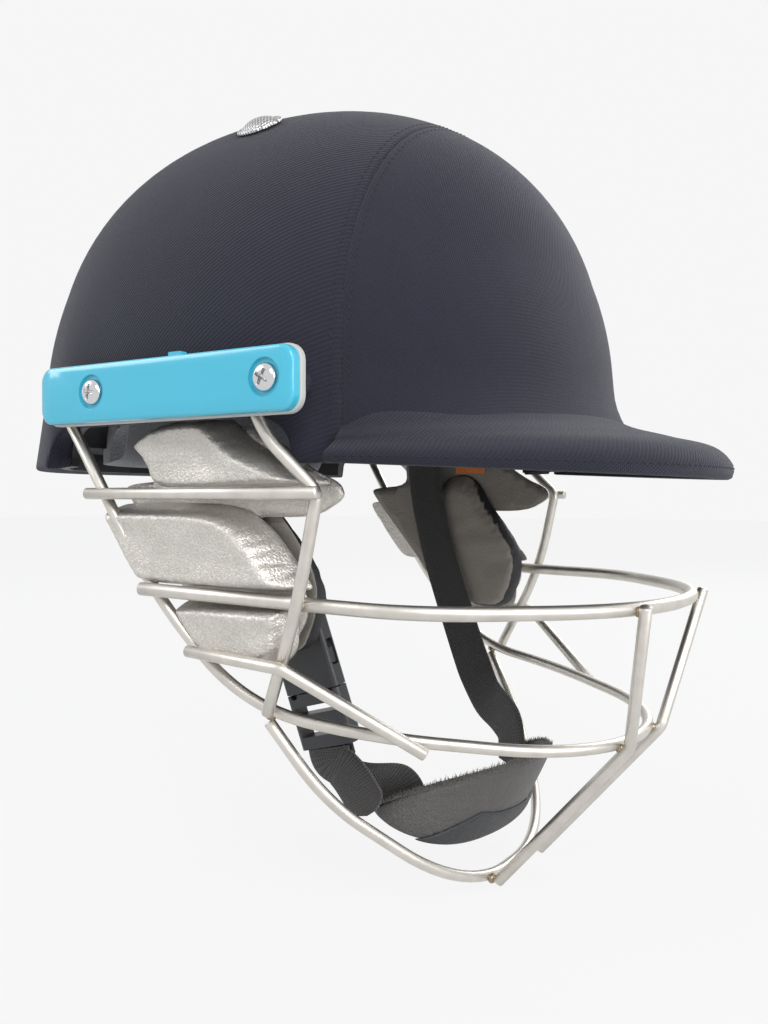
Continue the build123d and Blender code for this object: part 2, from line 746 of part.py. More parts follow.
def make_strap_posts():
    """Shouldered posts in the shell that the strap ends turn on."""
    inner_x = strap_pivot_x - strap_thickness / 2 - strap_running_gap
    outer_x = strap_pivot_x + strap_thickness / 2 + strap_running_gap
    wall_x = seat_on_wall(pivot_y, post_shoulder_radius, shell_inner) - layer_gap
    post = side_prism(post_shoulder_radius, outer_x, wall_x, pivot_y, pivot_z)
    post += side_cylinder(post_radius, inner_x - post_head_thickness / 2, wall_x, pivot_y, pivot_z)
    post += side_prism(post_head_radius, inner_x - post_head_thickness, inner_x, pivot_y, pivot_z)
    save("strap_posts", both_sides(post))


def strap_places(rows):
    """Places along the strap, from their share of the pivot's distance out, Y and Z."""
    return [(out * strap_pivot_x, y, z) for out, y, z in rows]


def buckle_plane():
    """Frame of the buckle: X across it towards the face, Z along it towards the chin."""
    top, foot = [Vector(*place) for place in strap_places((buckle_top, buckle_foot))]
    along = foot - top
    ahead = Vector(0, -1, 0)
    return Plane(origin=top, x_dir=ahead - along * (ahead.dot(along) / along.dot(along)), z_dir=along)


def make_webbing():
    """The far strap, the near strap above the buckle, and the lower run from the buckle to the cup."""
    upright = (0, 1, 0)
    ends, across_end = tape_end(1, upright)
    points = strap_top(1) + strap_places(far_strap_route) + ends
    across = [upright] * (len(points) - len(ends)) + [across_end] * len(ends)
    far = strip(points, across, [strap_width] * len(points), strap_thickness)
    save("far_strap", far - pivot_bore())

    frame = buckle_plane()
    entry = tuple(frame.origin + frame.z_dir * (socket_wall - plug_gap))
    points = strap_top(-1) + strap_places(near_strap_route) + [tuple(frame.origin - frame.z_dir * overrun), entry]
    near = strip(points, [upright] * len(points), [strap_width] * len(points), strap_thickness)
    save("near_strap", near - pivot_bore())

    bar_end = socket_length + plug_length + 2 * plug_gap
    starts = [tuple(frame.origin + frame.z_dir * place) for place in (bar_end, bar_end + strap_lead)]
    ends, across_end = tape_end(-1, tuple(frame.x_dir))
    lower = strip(starts + ends, [tuple(frame.x_dir)] * 2 + [across_end] * 2, [strap_width] * 4, strap_thickness)
    save("near_webbing", lower)


def make_buckle():
    """Side release buckle: a socket on the strap, and a plug with a ladder bar, a tongue and two prongs."""
    frame = buckle_plane()
    cavity_width = buckle_width - 2 * socket_wall
    cavity_height = buckle_thickness - 2 * socket_wall

    body = extrude(RectangleRounded(buckle_width, buckle_thickness, buckle_corner), amount=socket_length)
    cavity = Pos(0, 0, socket_roof + overrun + socket_length / 2) * Box(
        cavity_width, cavity_height, socket_length + 2 * overrun)
    window = Pos(0, 0, window_start + window_length / 2) * Box(
        buckle_width + 2 * overrun, cavity_height, window_length)
    pocket = Box(strap_width + 2 * plug_gap, strap_thickness + 2 * plug_gap, 2 * socket_wall)
    slot = Pos(0, 0, socket_slot_place) * Box(socket_slot_width, buckle_thickness + 2 * overrun, socket_slot_height)
    save("buckle_socket", frame * (body - cavity - window - pocket - slot))

    plug_start = socket_length + plug_gap
    plug = Pos(0, 0, plug_start) * extrude(
        RectangleRounded(buckle_width, buckle_thickness, buckle_corner), amount=plug_length)
    for share in ladder_slot_shares:
        plug -= Pos(0, 0, plug_start + plug_length * share) * Box(
            ladder_slot_width, buckle_thickness + 2 * overrun, ladder_slot_height)
    plug += Pos(0, 0, plug_start - tongue_length / 2) * Box(tongue_width, prong_thickness, tongue_length)
    for side in (-1, 1):
        root = Pos(side * (prong_inner + prong_width / 2), 0, plug_start) * Rot(90, 0, 0)
        plug -= root * Cylinder(prong_width / 2 + prong_clearance, buckle_thickness + overrun)
    save("buckle_plug", frame * plug)

    for name, side in (("buckle_prong_front", 1), ("buckle_prong_rear", -1)):
        middle_x = prong_inner + prong_width / 2
        arm = Pos(side * middle_x, 0, (plug_start + prong_tip) / 2) * Box(
            prong_width, prong_thickness, plug_start - prong_tip)
        arm += Pos(side * middle_x, 0, plug_start) * Rot(90, 0, 0) * Cylinder(prong_width / 2, prong_thickness)
        head_low = prong_inner + prong_width
        nose = prong_head_start + prong_head_length
        profile = Plane.XZ * make_face(Polyline(
            (side * middle_x, prong_tip), (side * head_low, prong_tip),
            (side * (head_low + prong_head_reach), prong_head_start + prong_head_reach),
            (side * (head_low + prong_head_reach), nose), (side * middle_x, nose), close=True))
        arm += extrude(profile, amount=prong_thickness / 2, both=True)
        save(name, frame * arm)


def make_tail():
    """Loose end of the webbing below the ladder bar."""
    frame = buckle_plane()
    bar_end = socket_length + plug_length + 2 * plug_gap
    start = tuple(frame.origin + frame.z_dir * bar_end + frame.y_dir * (strap_thickness + tail_gap))
    lead = tuple(Vector(*start) + frame.z_dir * strap_lead)
    points = [start, lead] + strap_places(tail_route)
    save("strap_tail", strip(points, [tuple(frame.x_dir)] * len(points), [strap_width] * len(points),
                             strap_thickness))


def make_chin_cup():
    """Leather cup under the chin and the panel sewn along its lower edge."""
    wall = cup_thickness / 2
    save("chin_cup", cup_band(cup_steps, (0, cup_panel_share, 1), -wall, wall))
    panel_face = wall + cup_stitch_gap
    save("cup_under_panel", cup_band(cup_panel_steps, (cup_panel_share, 0), panel_face,
                                     panel_face + cup_panel_thickness))


def make_size_tab():
    """Bare cloth tab sewn to the inside of the far pad sheet, by the temple."""
    tab_x = pad_back_x - 2 * sheet_gap - sheet_thickness - tab_thickness / 2
    save("size_tab", Pos(tab_x, tab_y, tab_z) * Box(tab_thickness, tab_length, tab_height))


os.makedirs("parts", exist_ok=True)
make_crown()
make_vents()
make_side_plates()
make_fasteners()
make_rings()
make_side_rods()
make_front_bars()
make_side_pads()
make_strap_posts()
make_webbing()
make_buckle()
make_tail()
make_chin_cup()
make_size_tab()
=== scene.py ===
"""A cricket batting helmet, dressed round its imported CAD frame.

Blender works in metres; sizes are written in millimetres times mm. +X is the wearer's left,
the face looks along -Y and +Z is up. The photograph looks at the wearer's right.
"""
from math import cos, pi, radians, sin, tan

import bmesh
import bpy
import numpy as np
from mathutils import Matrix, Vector, geometry, noise


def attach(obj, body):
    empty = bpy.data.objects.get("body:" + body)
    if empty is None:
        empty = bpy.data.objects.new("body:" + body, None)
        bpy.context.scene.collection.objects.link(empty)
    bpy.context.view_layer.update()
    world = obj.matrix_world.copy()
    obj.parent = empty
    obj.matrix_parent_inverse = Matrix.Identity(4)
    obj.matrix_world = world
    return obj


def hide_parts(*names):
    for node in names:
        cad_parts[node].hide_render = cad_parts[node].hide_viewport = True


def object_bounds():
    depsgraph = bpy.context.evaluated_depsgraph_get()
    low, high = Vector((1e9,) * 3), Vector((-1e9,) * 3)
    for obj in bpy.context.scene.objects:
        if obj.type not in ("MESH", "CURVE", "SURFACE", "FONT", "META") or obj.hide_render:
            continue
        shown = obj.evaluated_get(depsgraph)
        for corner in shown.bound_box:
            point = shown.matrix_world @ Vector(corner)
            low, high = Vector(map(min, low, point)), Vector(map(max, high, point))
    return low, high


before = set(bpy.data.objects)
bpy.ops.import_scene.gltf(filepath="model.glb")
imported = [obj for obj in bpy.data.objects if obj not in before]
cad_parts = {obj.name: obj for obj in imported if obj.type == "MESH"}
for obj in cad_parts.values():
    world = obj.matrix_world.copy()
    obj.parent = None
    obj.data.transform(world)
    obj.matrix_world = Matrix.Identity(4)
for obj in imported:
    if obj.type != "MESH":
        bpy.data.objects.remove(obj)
packed_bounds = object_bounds()
mm = 0.001


# ---------------------------------------------------------------- Camera
# The photograph was taken level with the rim, from the wearer's right and a little ahead,
# about 0.42 m from the middle of the head opening.
camera_place = (-339.4 * mm, -248.0 * mm, -12.0 * mm)
camera_aim = (0.84527, 0.53412, -0.01538)
camera_lens = 33.398
sensor_width = 36
nearest_seen = 10 * mm

camera_data = bpy.data.cameras.new("camera")
camera_data.lens = camera_lens
camera_data.sensor_width = sensor_width
camera_data.clip_start = nearest_seen
camera = bpy.data.objects.new("camera", camera_data)
camera.location = camera_place
camera.rotation_euler = Vector(camera_aim).to_track_quat("-Z", "Y").to_euler()
bpy.context.scene.collection.objects.link(camera)
bpy.context.scene.camera = camera
bpy.context.scene.view_settings.view_transform = "Standard"


# ---------------------------------------------------------------- Studio
# A white sweep of paper lit by large soft boxes. To the camera, and in what metal reflects,
# the paper is an even near white, as the photograph's background is.
paper_white = "F6F6F6"
paper_grey = "D9D9D9"
room_light = "E9EDF2"
room_strength = 0.62
floor_white = "F9F9F9"
paper_glow_share = 0.92
floor_gap = 3 * mm
floor_half_size = 6.0
# Each box: its name, its place and its width in metres, and its power in watts.
soft_boxes = (
    ("key_box", (-1.25, -1.05, 1.15), 0.9, 21.0),
    ("front_box", (-0.25, -1.5, 0.35), 0.8, 9.0),
    ("rear_box", (-0.9, 1.2, 0.9), 0.9, 8.0),
    ("far_box", (1.3, -0.3, 0.8), 0.9, 10.0),
)


def linear(code):
    """Linear colour and full alpha from an sRGB hex code."""
    parts = [int(code[at:at + 2], 16) / 255 for at in (0, 2, 4)]
    return [part / 12.92 if part <= 0.04045 else ((part + 0.055) / 1.055) ** 2.4
            for part in parts] + [1]


def add_node(tree, kind, feeds=None, **settings):
    """A node with its settings, and its inputs by name or number: a value or the socket that feeds it."""
    made = tree.nodes.new(kind)
    for name, value in settings.items():
        setattr(made, name, value)
    for key, value in (feeds or {}).items():
        if isinstance(value, bpy.types.NodeSocket):
            tree.links.new(value, made.inputs[key])
        else:
            made.inputs[key].default_value = value
    return made


def seen_or_reflected(tree):
    """1 for what the camera sees straight on, in a reflection or through glass."""
    path = add_node(tree, "ShaderNodeLightPath")
    mirrored = add_node(tree, "ShaderNodeMath", {0: path.outputs["Is Camera Ray"], 1: path.outputs["Is Glossy Ray"]},
                        operation="MAXIMUM")
    return add_node(tree, "ShaderNodeMath", {0: mirrored.outputs[0], 1: path.outputs["Is Transmission Ray"]},
                    operation="MAXIMUM").outputs[0]


paper = bpy.data.materials.new("studio_paper")
paper.use_nodes = True
paper_tree = paper.node_tree
paper_tree.nodes.clear()
paper_glow = add_node(paper_tree, "ShaderNodeEmission", {"Color": linear(floor_white), "Strength": 1.0})
paper_matt = add_node(paper_tree, "ShaderNodeBsdfDiffuse", {"Color": linear(paper_grey)})
paper_share = add_node(paper_tree, "ShaderNodeMath", {0: seen_or_reflected(paper_tree), 1: paper_glow_share},
                       operation="MULTIPLY").outputs[0]
paper_mix = add_node(paper_tree, "ShaderNodeMixShader", {
    0: paper_share, 1: paper_matt.outputs[0], 2: paper_glow.outputs[0]})
add_node(paper_tree, "ShaderNodeOutputMaterial", {"Surface": paper_mix.outputs[0]})

floor_z = packed_bounds[0][2] - floor_gap
floor_mesh = bpy.data.meshes.new("floor")
floor_mesh.from_pydata([(x * floor_half_size, y * floor_half_size, floor_z)
                        for x, y in ((-1, -1), (1, -1), (1, 1), (-1, 1))], [], [(0, 1, 2, 3)])
floor_mesh.materials.append(paper)
floor = bpy.data.objects.new("floor", floor_mesh)
bpy.context.scene.collection.objects.link(floor)

world = bpy.data.worlds.new("studio")
world.use_nodes = True
world_tree = world.node_tree
world_tree.nodes.clear()
world_seen = add_node(world_tree, "ShaderNodeBackground", {"Color": linear(paper_white), "Strength": 1.0})
world_lit = add_node(world_tree, "ShaderNodeBackground", {"Color": linear(room_light), "Strength": room_strength})
world_mix = add_node(world_tree, "ShaderNodeMixShader", {
    0: seen_or_reflected(world_tree), 1: world_lit.outputs[0], 2: world_seen.outputs[0]})
add_node(world_tree, "ShaderNodeOutputWorld", {"Surface": world_mix.outputs[0]})
bpy.context.scene.world = world

for box_name, box_place, box_size, box_power in soft_boxes:
    box_data = bpy.data.lights.new(box_name, "AREA")
    box_data.shape = "DISK"
    box_data.size = box_size
    box_data.energy = box_power
    box_light = bpy.data.objects.new(box_name, box_data)
    box_light.location = box_place
    box_light.rotation_euler = (-Vector(box_place)).to_track_quat("-Z", "Y").to_euler()
    bpy.context.scene.collection.objects.link(box_light)


# ---------------------------------------------------------------- Cloth over the crown
# Two panels of navy twill, stretched over the moulded shell and glued, join in a sewn seam in
# front of the ears. The cloth turns under the shell's edge, round the arches over the ears.
crown_half_width = 102.5
crown_half_length = 118.0
crown_dome_height = 107.5
crown_wall_height = 39.5
crown_centre_y = -4.5
crown_fullness = 2.2
cloth_thickness = 0.8
ear_arch_front_y = -57.0
ear_arch_rear_y = 52.0
ear_arch_height = 15.0
ear_arch_corner = 12.0
arch_steps = (0.05, 0.4, 1.2, 3, 5.5, 8.5, 12)
step_before_arch = 0.4
seam_y = -72.0
seam_depth = 0.9
seam_half_width = 1.1
seam_steps = (0.3, 0.6, 0.9, 1.2)
front_panel_low_z = 6.0
flare_first_y = 22.0
flare_run = 34.0
flare_height = 72.0
flare_curve = 1.3
nape_flare = 8.5
front_fullness = 6.5
root_fillet = 10.0
fillet_height = 24.0
hem_hold = (0, 0.55)
merge_distance = 0.005 * mm
thinnest_face = 0.002 * mm
navy = "2A2B37"
navy_shade = "17171F"
navy_light = "2B2C39"
twill_pitch = 1.15 * mm
twill_depth = 0.22 * mm
twill_fibre = 0.5 * mm
twill_cloud = 14 * mm
# How far in from the edge, and how high, each point of the turned edge lies.
turned_edge = ((3.9, 0.9), (3.3, -0.3), (2.2, -0.9), (1.0, -0.7), (0.25, 0.0), (0.0, 0.9))


def new_material(name, colour, roughness, metallic=0, **more):
    """Material with one Principled shader, whose constants stand on its own sockets."""
    made = bpy.data.materials.new(name)
    made.use_nodes = True
    tree = made.node_tree
    tree.nodes.clear()
    shader = add_node(tree, "ShaderNodeBsdfPrincipled", {
        "Base Color": linear(colour), "Roughness": roughness, "Metallic": metallic,
        **{name.replace("_", " "): value for name, value in more.items()}})
    add_node(tree, "ShaderNodeOutputMaterial", {"Surface": shader.outputs[0]})
    return made, tree, shader


def tint(tree, shader, share, dark, light):
    """Lets a shader's colour run between two sRGB colours, by a share."""
    mixed = add_node(tree, "ShaderNodeMixRGB", {0: share, 1: linear(dark), 2: linear(light)})
    tree.links.new(mixed.outputs[0], shader.inputs["Base Color"])


def speckle(tree, place, size, detail=3.0):
    """Even random pattern whose grains have a real size."""
    return add_node(tree, "ShaderNodeTexNoise", {"Vector": place, "Scale": 1 / size, "Detail": detail}).outputs[0]


def ribs(tree, place, direction, pitch):
    """Wave from 0 to 1 whose crests are a pitch apart along a direction."""
    turns = tuple(part * 2 * pi / pitch for part in Vector(direction).normalized())
    along = add_node(tree, "ShaderNodeVectorMath", {0: place, 1: turns}, operation="DOT_PRODUCT").outputs["Value"]
    wave = add_node(tree, "ShaderNodeMath", {0: along}, operation="SINE").outputs[0]
    return add_node(tree, "ShaderNodeMath", {0: wave, 1: 0.5, 2: 0.5}, operation="MULTIPLY_ADD").outputs[0]


def press(tree, shader, height, depth):
    """Bump of a real depth on a shader."""
    relief = add_node(tree, "ShaderNodeBump", {"Height": height, "Distance": depth, "Strength": 1.0})
    tree.links.new(relief.outputs[0], shader.inputs["Normal"])


def sum_of(tree, *weighted):
    """Weighted sum of heights."""
    total = 0.0
    for socket, weight in weighted:
        total = add_node(tree, "ShaderNodeMath", {0: socket, 1: weight, 2: total},
                         operation="MULTIPLY_ADD").outputs[0]
    return total


def twill_cloth(name, lean):
    """Brushed polyester twill: a matt cloth whose fine raised cords run at a slant.

    Its yarns are too fine to show one by one, so they are drawn about as coarse as half a cord.
    """
    made, tree, shader = new_material(name, navy, roughness=0.88, Sheen_Weight=0.14, Sheen_Roughness=0.5,
                                      Specular_IOR_Level=0.2)
    place = add_node(tree, "ShaderNodeTexCoord").outputs["UV"]
    cords = ribs(tree, place, (1, lean, 0), twill_pitch)
    yarns = ribs(tree, place, (1, -lean * 3, 0), twill_pitch * 0.6)
    fibres = speckle(tree, place, twill_fibre)
    clouds = speckle(tree, place, twill_cloud)
    tint(tree, shader, sum_of(tree, (cords, 0.3), (fibres, 0.7), (clouds, 0.25)), navy_shade, navy_light)
    press(tree, shader, sum_of(tree, (cords, 0.5), (yarns, 0.2), (fibres, 0.6)), twill_depth)
    return made


def finish_mesh(name, mesh, material, body, sharp=50):
    """Object with a merged, outward facing and smooth mesh, riding on a CAD body."""
    work = bmesh.new()
    work.from_mesh(mesh)
    bmesh.ops.remove_doubles(work, verts=work.verts, dist=merge_distance)
    bmesh.ops.dissolve_degenerate(work, edges=work.edges, dist=thinnest_face)
    bmesh.ops.recalc_face_normals(work, faces=work.faces)
    work.to_mesh(mesh)
    work.free()
    mesh.shade_smooth()
    mesh.set_sharp_from_angle(angle=radians(sharp))
    mesh.materials.clear()
    mesh.materials.append(material)
    made = bpy.data.objects.new(name, mesh)
    bpy.context.scene.collection.objects.link(made)
    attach(made, body)
    return made


def make_piece(name, points, faces, material, body="helmet", uvs=None, sharp=50):
    """Object from places in millimetres, with a map of its weave in metres where it has one."""
    mesh = bpy.data.meshes.new(name)
    mesh.from_pydata([tuple(float(c) * mm for c in point) for point in points], [],
                     [list(face) for face in faces])
    if uvs is not None:
        layer = mesh.uv_layers.new(name="weave")
        for loop in mesh.loops:
            layer.data[loop.index].uv = uvs[loop.vertex_index]
    return finish_mesh(name, mesh, material, body, sharp)


def grid_faces(rows, columns, start=0, joined=False):
    """Four cornered faces between rows of points."""
    faces = []
    for row in range(rows - 1):
        for column in range(columns if joined else columns - 1):
            after = (column + 1) % columns
            faces.append((start + row * columns + column, start + row * columns + after,
                          start + (row + 1) * columns + after, start + (row + 1) * columns + column))
    return faces


def grid_weave(grid):
    """Lengths along both directions of a grid, in metres, for a weave that isn't stretched."""
    along = np.linalg.norm(np.diff(grid, axis=0), axis=2).cumsum(axis=0)
    across = np.linalg.norm(np.diff(grid, axis=1), axis=2).cumsum(axis=1)
    along = np.vstack([np.zeros((1, grid.shape[1])), along])
    across = np.hstack([np.zeros((grid.shape[0], 1)), across])
    middle = grid.shape[1] // 2
    along = along[:, middle:middle + 1] + np.zeros_like(along)
    across = across - across[:, middle:middle + 1]
    return np.stack([along, across], axis=2).reshape(-1, 2) * mm


def thicken(cloth, thickness):
    """Gives a single layer of faces its wall, inwards."""
    wall = cloth.modifiers.new("cloth thickness", "SOLIDIFY")
    wall.thickness = thickness * mm
    wall.offset = -1


def crown_fullness_at(y, inset=0):
    """Width share of the crown's full oval at a place along it."""
    share = abs((y - crown_centre_y) / (crown_half_length - inset))
    return max(0, 1 - share ** crown_fullness) ** (1 / crown_fullness)


def arch_edge(y):
    """Height of the shell's edge, which rises over the ear."""
    from_end = min(y - ear_arch_front_y, ear_arch_rear_y - y)
    if from_end <= 0:
        return 0
    if from_end >= ear_arch_corner:
        return ear_arch_height
    return ear_arch_height - ear_arch_corner + (ear_arch_corner ** 2 - (ear_arch_corner - from_end) ** 2) ** 0.5


def crown_row(y, inset, low_z, wall_points=9, arch_points=61):
    """Points over the crown at one place along it, from its right edge over the top to its left edge."""
    full = crown_fullness_at(y)
    width = (crown_half_width - inset) * full
    rise = (crown_dome_height - inset) * full
    wall = [(-width, y, z) for z in np.linspace(low_z, crown_wall_height, wall_points)[:-1]]
    turns = np.linspace(0, pi, arch_points)
    arch = [(-width * cos(turn), y, crown_wall_height + rise * sin(turn)) for turn in turns]
    return wall + arch + [(-x, y, z) for x, _, z in reversed(wall)]


def eased(share):
    """Share that sets out and arrives gently."""
    return share ** 2 * (3 - 2 * share)


def spread_rim(grid):
    """Cloth moved outwards over the nape, where the rim flares, and over the peak, where a fillet meets it."""
    out = (grid - np.array((0, crown_centre_y, 0))) * (1, 1, 0)
    out /= np.maximum(np.linalg.norm(out, axis=2, keepdims=True), 1)
    y, z = grid[..., 1], grid[..., 2]
    behind = np.clip((y - flare_first_y) / flare_run, 0, 1)
    ahead = np.clip((seam_y - seam_half_width - y) / flare_run, 0, 1)
    low = np.clip(1 - z / flare_height, 0, 1)
    root = np.clip(1 - (z - front_panel_low_z) / fillet_height, 0, 1)
    nape = nape_flare * low ** flare_curve * eased(behind)
    front = (front_fullness * low + root_fillet * root ** 2) * eased(ahead)
    held = np.ones(grid.shape[1])
    held[[0, -1]], held[[1, -2]] = hem_hold
    return grid + out * ((nape + front) * held)[..., None]


def crown_panel(places, low_edge):
    """Grid of points of a cloth panel, turned under at its low edges and drawn in along the seam."""
    grid = []
    for y in places:
        drawn_in = seam_depth * max(0, 1 - abs(y - seam_y) / seam_half_width) ** 2
        low_z = low_edge(y)
        row = crown_row(y, drawn_in, low_z + turned_edge[-1][1])
        full = crown_fullness_at(y)
        hem = [(-(crown_half_width - inset) * full, y, low_z + rise) for inset, rise in turned_edge[:-1]]
        grid.append(hem + row + [(-x, y, z) for x, _, z in reversed(hem)])
    return spread_rim(np.array(grid))


def places_along(first, last, extra, count):
    """Places along the crown, closer together towards its ends, with some of their own added."""
    start, end = [np.arcsin(np.clip((y - crown_centre_y) / crown_half_length, -1, 1)) for y in (first, last)]
    spread = crown_centre_y + crown_half_length * np.sin(np.linspace(start, end, count))
    return sorted(set(np.round(spread, 3)) | set(extra))


def stretched_cloth(name, grid, lean, node):
    """Twill stretched over the shell: one layer of points with its wall inwards, for a CAD cloth."""
    cloth = make_piece(name, grid.reshape(-1, 3), grid_faces(*grid.shape[:2]),
                       twill_cloth(node.replace("cover", "navy_twill"), lean), uvs=grid_weave(grid), sharp=180)
    thicken(cloth, cloth_thickness)
    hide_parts(node)


arch_places = [ear_arch_front_y - step_before_arch, ear_arch_rear_y + step_before_arch]
for step in arch_steps:
    arch_places += [ear_arch_front_y + step, ear_arch_rear_y - step]
rear_grid = crown_panel(places_along(seam_y, crown_centre_y + crown_half_length,
                                     arch_places + [seam_y + step for step in seam_steps], count=70), arch_edge)
front_grid = crown_panel(places_along(crown_centre_y - crown_half_length, seam_y,
                                      [seam_y - step for step in seam_steps], count=30),
                         lambda y: front_panel_low_z)
stretched_cloth("rear_cloth_panel", rear_grid, 1, "cover_rear_panel")
stretched_cloth("front_cloth_panel", front_grid, -1, "cover_front_panel")


# ---------------------------------------------------------------- Seams
# Lockstitch in navy thread that lies in the cloth: one row beside each side of the joining seam,
# and one row along the peak's hem.
stitch_length = 1.9
stitch_pitch = 3.0
stitch_radius = 0.26
seam_row_offset = 2.6
seam_row_points = 90
seam_wall_heights = (16, 24, 32)
thread_navy = "0E0E14"
turn_seed = 3
size_seed = 8


def smooth_path(places, count):
    """Evenly spread points on a smooth curve through places."""
    places = np.array(places, float)
    at = np.concatenate([[0], np.linalg.norm(np.diff(places, axis=0), axis=1).cumsum()])
    slope = np.gradient(places, at, axis=0)
    where = np.linspace(0, at[-1], count)
    index = np.clip(np.searchsorted(at, where, side="right") - 1, 0, len(at) - 2)
    span = (at[index + 1] - at[index])[:, None]
    t = (where - at[index])[:, None] / span
    return ((2 * t ** 3 - 3 * t ** 2 + 1) * places[index] + (t ** 3 - 2 * t ** 2 + t) * span * slope[index]
            + (3 * t ** 2 - 2 * t ** 3) * places[index + 1] + (t ** 3 - t ** 2) * span * slope[index + 1])


def line_tool(name, shape_node, shape_feeds, lean=0, least=None, most=None):
    """Geometry Nodes tree that sets a small shape along a line at an even pitch and dresses it.

    With a lean the shapes stand loosely upright instead, at random sizes between the least and the most.
    """
    tree = bpy.data.node_groups.new(name, "GeometryNodeTree")
    for socket, kind in (("Line", "Geometry"), ("Pitch", "Float"), ("Size", "Vector"), ("Material", "Material")):
        tree.interface.new_socket(socket, in_out="INPUT", socket_type="NodeSocket" + kind)
    tree.interface.new_socket("Pieces", in_out="OUTPUT", socket_type="NodeSocketGeometry")
    given = add_node(tree, "NodeGroupInput")
    curve = add_node(tree, "GeometryNodeMeshToCurve", {"Mesh": given.outputs["Line"]})
    places = add_node(tree, "GeometryNodeCurveToPoints", {
        "Curve": curve.outputs[0], "Length": given.outputs["Pitch"]}, mode="LENGTH")
    shape = add_node(tree, shape_node, shape_feeds)
    sized = add_node(tree, "GeometryNodeTransform", {
        "Geometry": shape.outputs[0], "Scale": given.outputs["Size"]})
    turns, lengths = places.outputs["Rotation"], (1.0, 1.0, 1.0)
    if lean:
        turns, lengths = [add_node(tree, "FunctionNodeRandomValue", {0: low, 1: high, "Seed": seed},
                                   data_type="FLOAT_VECTOR").outputs[0]
                          for low, high, seed in (((-lean, -lean, 0), (lean, lean, pi), turn_seed),
                                                  (least, most, size_seed))]
    laid = add_node(tree, "GeometryNodeInstanceOnPoints", {
        "Points": places.outputs["Points"], "Instance": sized.outputs[0], "Rotation": turns, "Scale": lengths})
    real = add_node(tree, "GeometryNodeRealizeInstances", {0: laid.outputs[0]})
    dressed = add_node(tree, "GeometryNodeSetMaterial", {"Geometry": real.outputs[0],
                                                         "Material": given.outputs["Material"]})
    add_node(tree, "NodeGroupOutput", {0: dressed.outputs[0]})
    return tree


def lay_along(name, tree, lines, pitch, size, material, body="helmet"):
    """Runs a line tool over lines of places in millimetres and keeps the result as a plain mesh."""
    points, edges = [], []
    for line in lines:
        edges += [(len(points) + step, len(points) + step + 1) for step in range(len(line) - 1)]
        points += [tuple(float(c) * mm for c in place) for place in line]
    line_mesh = bpy.data.meshes.new(name + "_line")
    line_mesh.from_pydata(points, edges, [])
    carrier = bpy.data.objects.new(name + "_line", line_mesh)
    bpy.context.scene.collection.objects.link(carrier)
    tool = carrier.modifiers.new(name, "NODES")
    tool.node_group = tree
    sockets = {item.name: item.identifier for item in tree.interface.items_tree if item.in_out == "INPUT"}
    tool[sockets["Pitch"]] = pitch * mm
    tool[sockets["Size"]] = [part * mm for part in size]
    tool[sockets["Material"]] = material
    bpy.context.view_layer.update()
    mesh = bpy.data.meshes.new_from_object(carrier.evaluated_get(bpy.context.evaluated_depsgraph_get()))
    mesh.name = name
    bpy.data.objects.remove(carrier)
    return finish_mesh(name, mesh, material, body)


def sew(name, lines):
    """Rows of stitches along lines."""
    stitches = lay_along(name, stitch_tool, lines, stitch_pitch,
                         (stitch_radius, stitch_radius, stitch_length / 2), thread)


stitch_tool = line_tool("stitches along a line", "GeometryNodeMeshUVSphere",
                        {"Segments": 6, "Rings": 5, "Radius": 1.0})
# Spun polyester thread: a dull line, darker than the cloth it is drawn into.
thread = new_material("polyester_thread_navy", thread_navy, roughness=0.7)[0]

seam_rows = []
for row_y in (seam_y - seam_row_offset, seam_y + seam_row_offset):
    full = crown_fullness_at(row_y)
    wall = [(-crown_half_width * full, row_y, z) for z in seam_wall_heights]
    arch = [(-crown_half_width * full * cos(turn), row_y, crown_wall_height + crown_dome_height * full * sin(turn))
            for turn in np.linspace(0.0, pi, seam_row_points)]
    seam_rows.append(wall + arch + [(-x, y, z) for x, y, z in reversed(wall)])
sew("seam_stitches", seam_rows)


# ---------------------------------------------------------------- Cloth over the peak
# The peak is moulded with the shell. A third piece of the same twill is stretched over it, its
# hem turned in under the edge and held by one row of stitches just above it.
peak_half_width = 97.0
peak_reach = 101.4
peak_root_low_z = -0.8
peak_tip_low_z = -5.3
peak_root_rise = 14.8
peak_tip_rise = 26.3
# Shares of the width, the reach and the rise, from the turned hem up to the root.
peak_profile = ((0.955, 0.955, 0.075), (0.972, 0.972, 0.0), (0.988, 0.988, -0.015), (0.998, 0.998, 0.045),
                (1.0, 1.0, 0.15), (0.984, 0.984, 0.27), (0.955, 0.957, 0.38), (0.925, 0.80, 0.575),
                (0.90, 0.63, 0.76), (0.885, 0.56, 0.88), (0.87, 0.49, 1.0))
peak_lengths = np.array((100, 100, 20))
hem_stitch_share = 0.9995
hem_stitch_rise = 0.135
hem_end_turn = 0.02


def peak_point(width_share, reach_share, rise_share, turn):
    """A place on the peak's outside, from its shares and its turn from the wearer's right to the left."""
    root_z = peak_root_low_z + peak_root_rise * rise_share
    tip_z = peak_tip_low_z + peak_tip_rise * rise_share
    return (-peak_half_width * width_share * cos(turn), seam_y - peak_reach * reach_share * sin(turn),
            root_z + (tip_z - root_z) * sin(turn))


peak_turns = pi * (1 - np.cos(np.linspace(0, pi, 85))) / 2
peak_rows = smooth_path(np.array(peak_profile) * peak_lengths, count=34) / peak_lengths
peak_grid = np.array([[peak_point(*shares, turn) for turn in peak_turns] for shares in peak_rows])
stretched_cloth("peak_cloth", peak_grid, -1, "cover_peak")
sew("hem_stitches", [[peak_point(hem_stitch_share, hem_stitch_share, hem_stitch_rise, turn)
                      for turn in np.linspace(hem_end_turn, pi - hem_end_turn, 120)]])


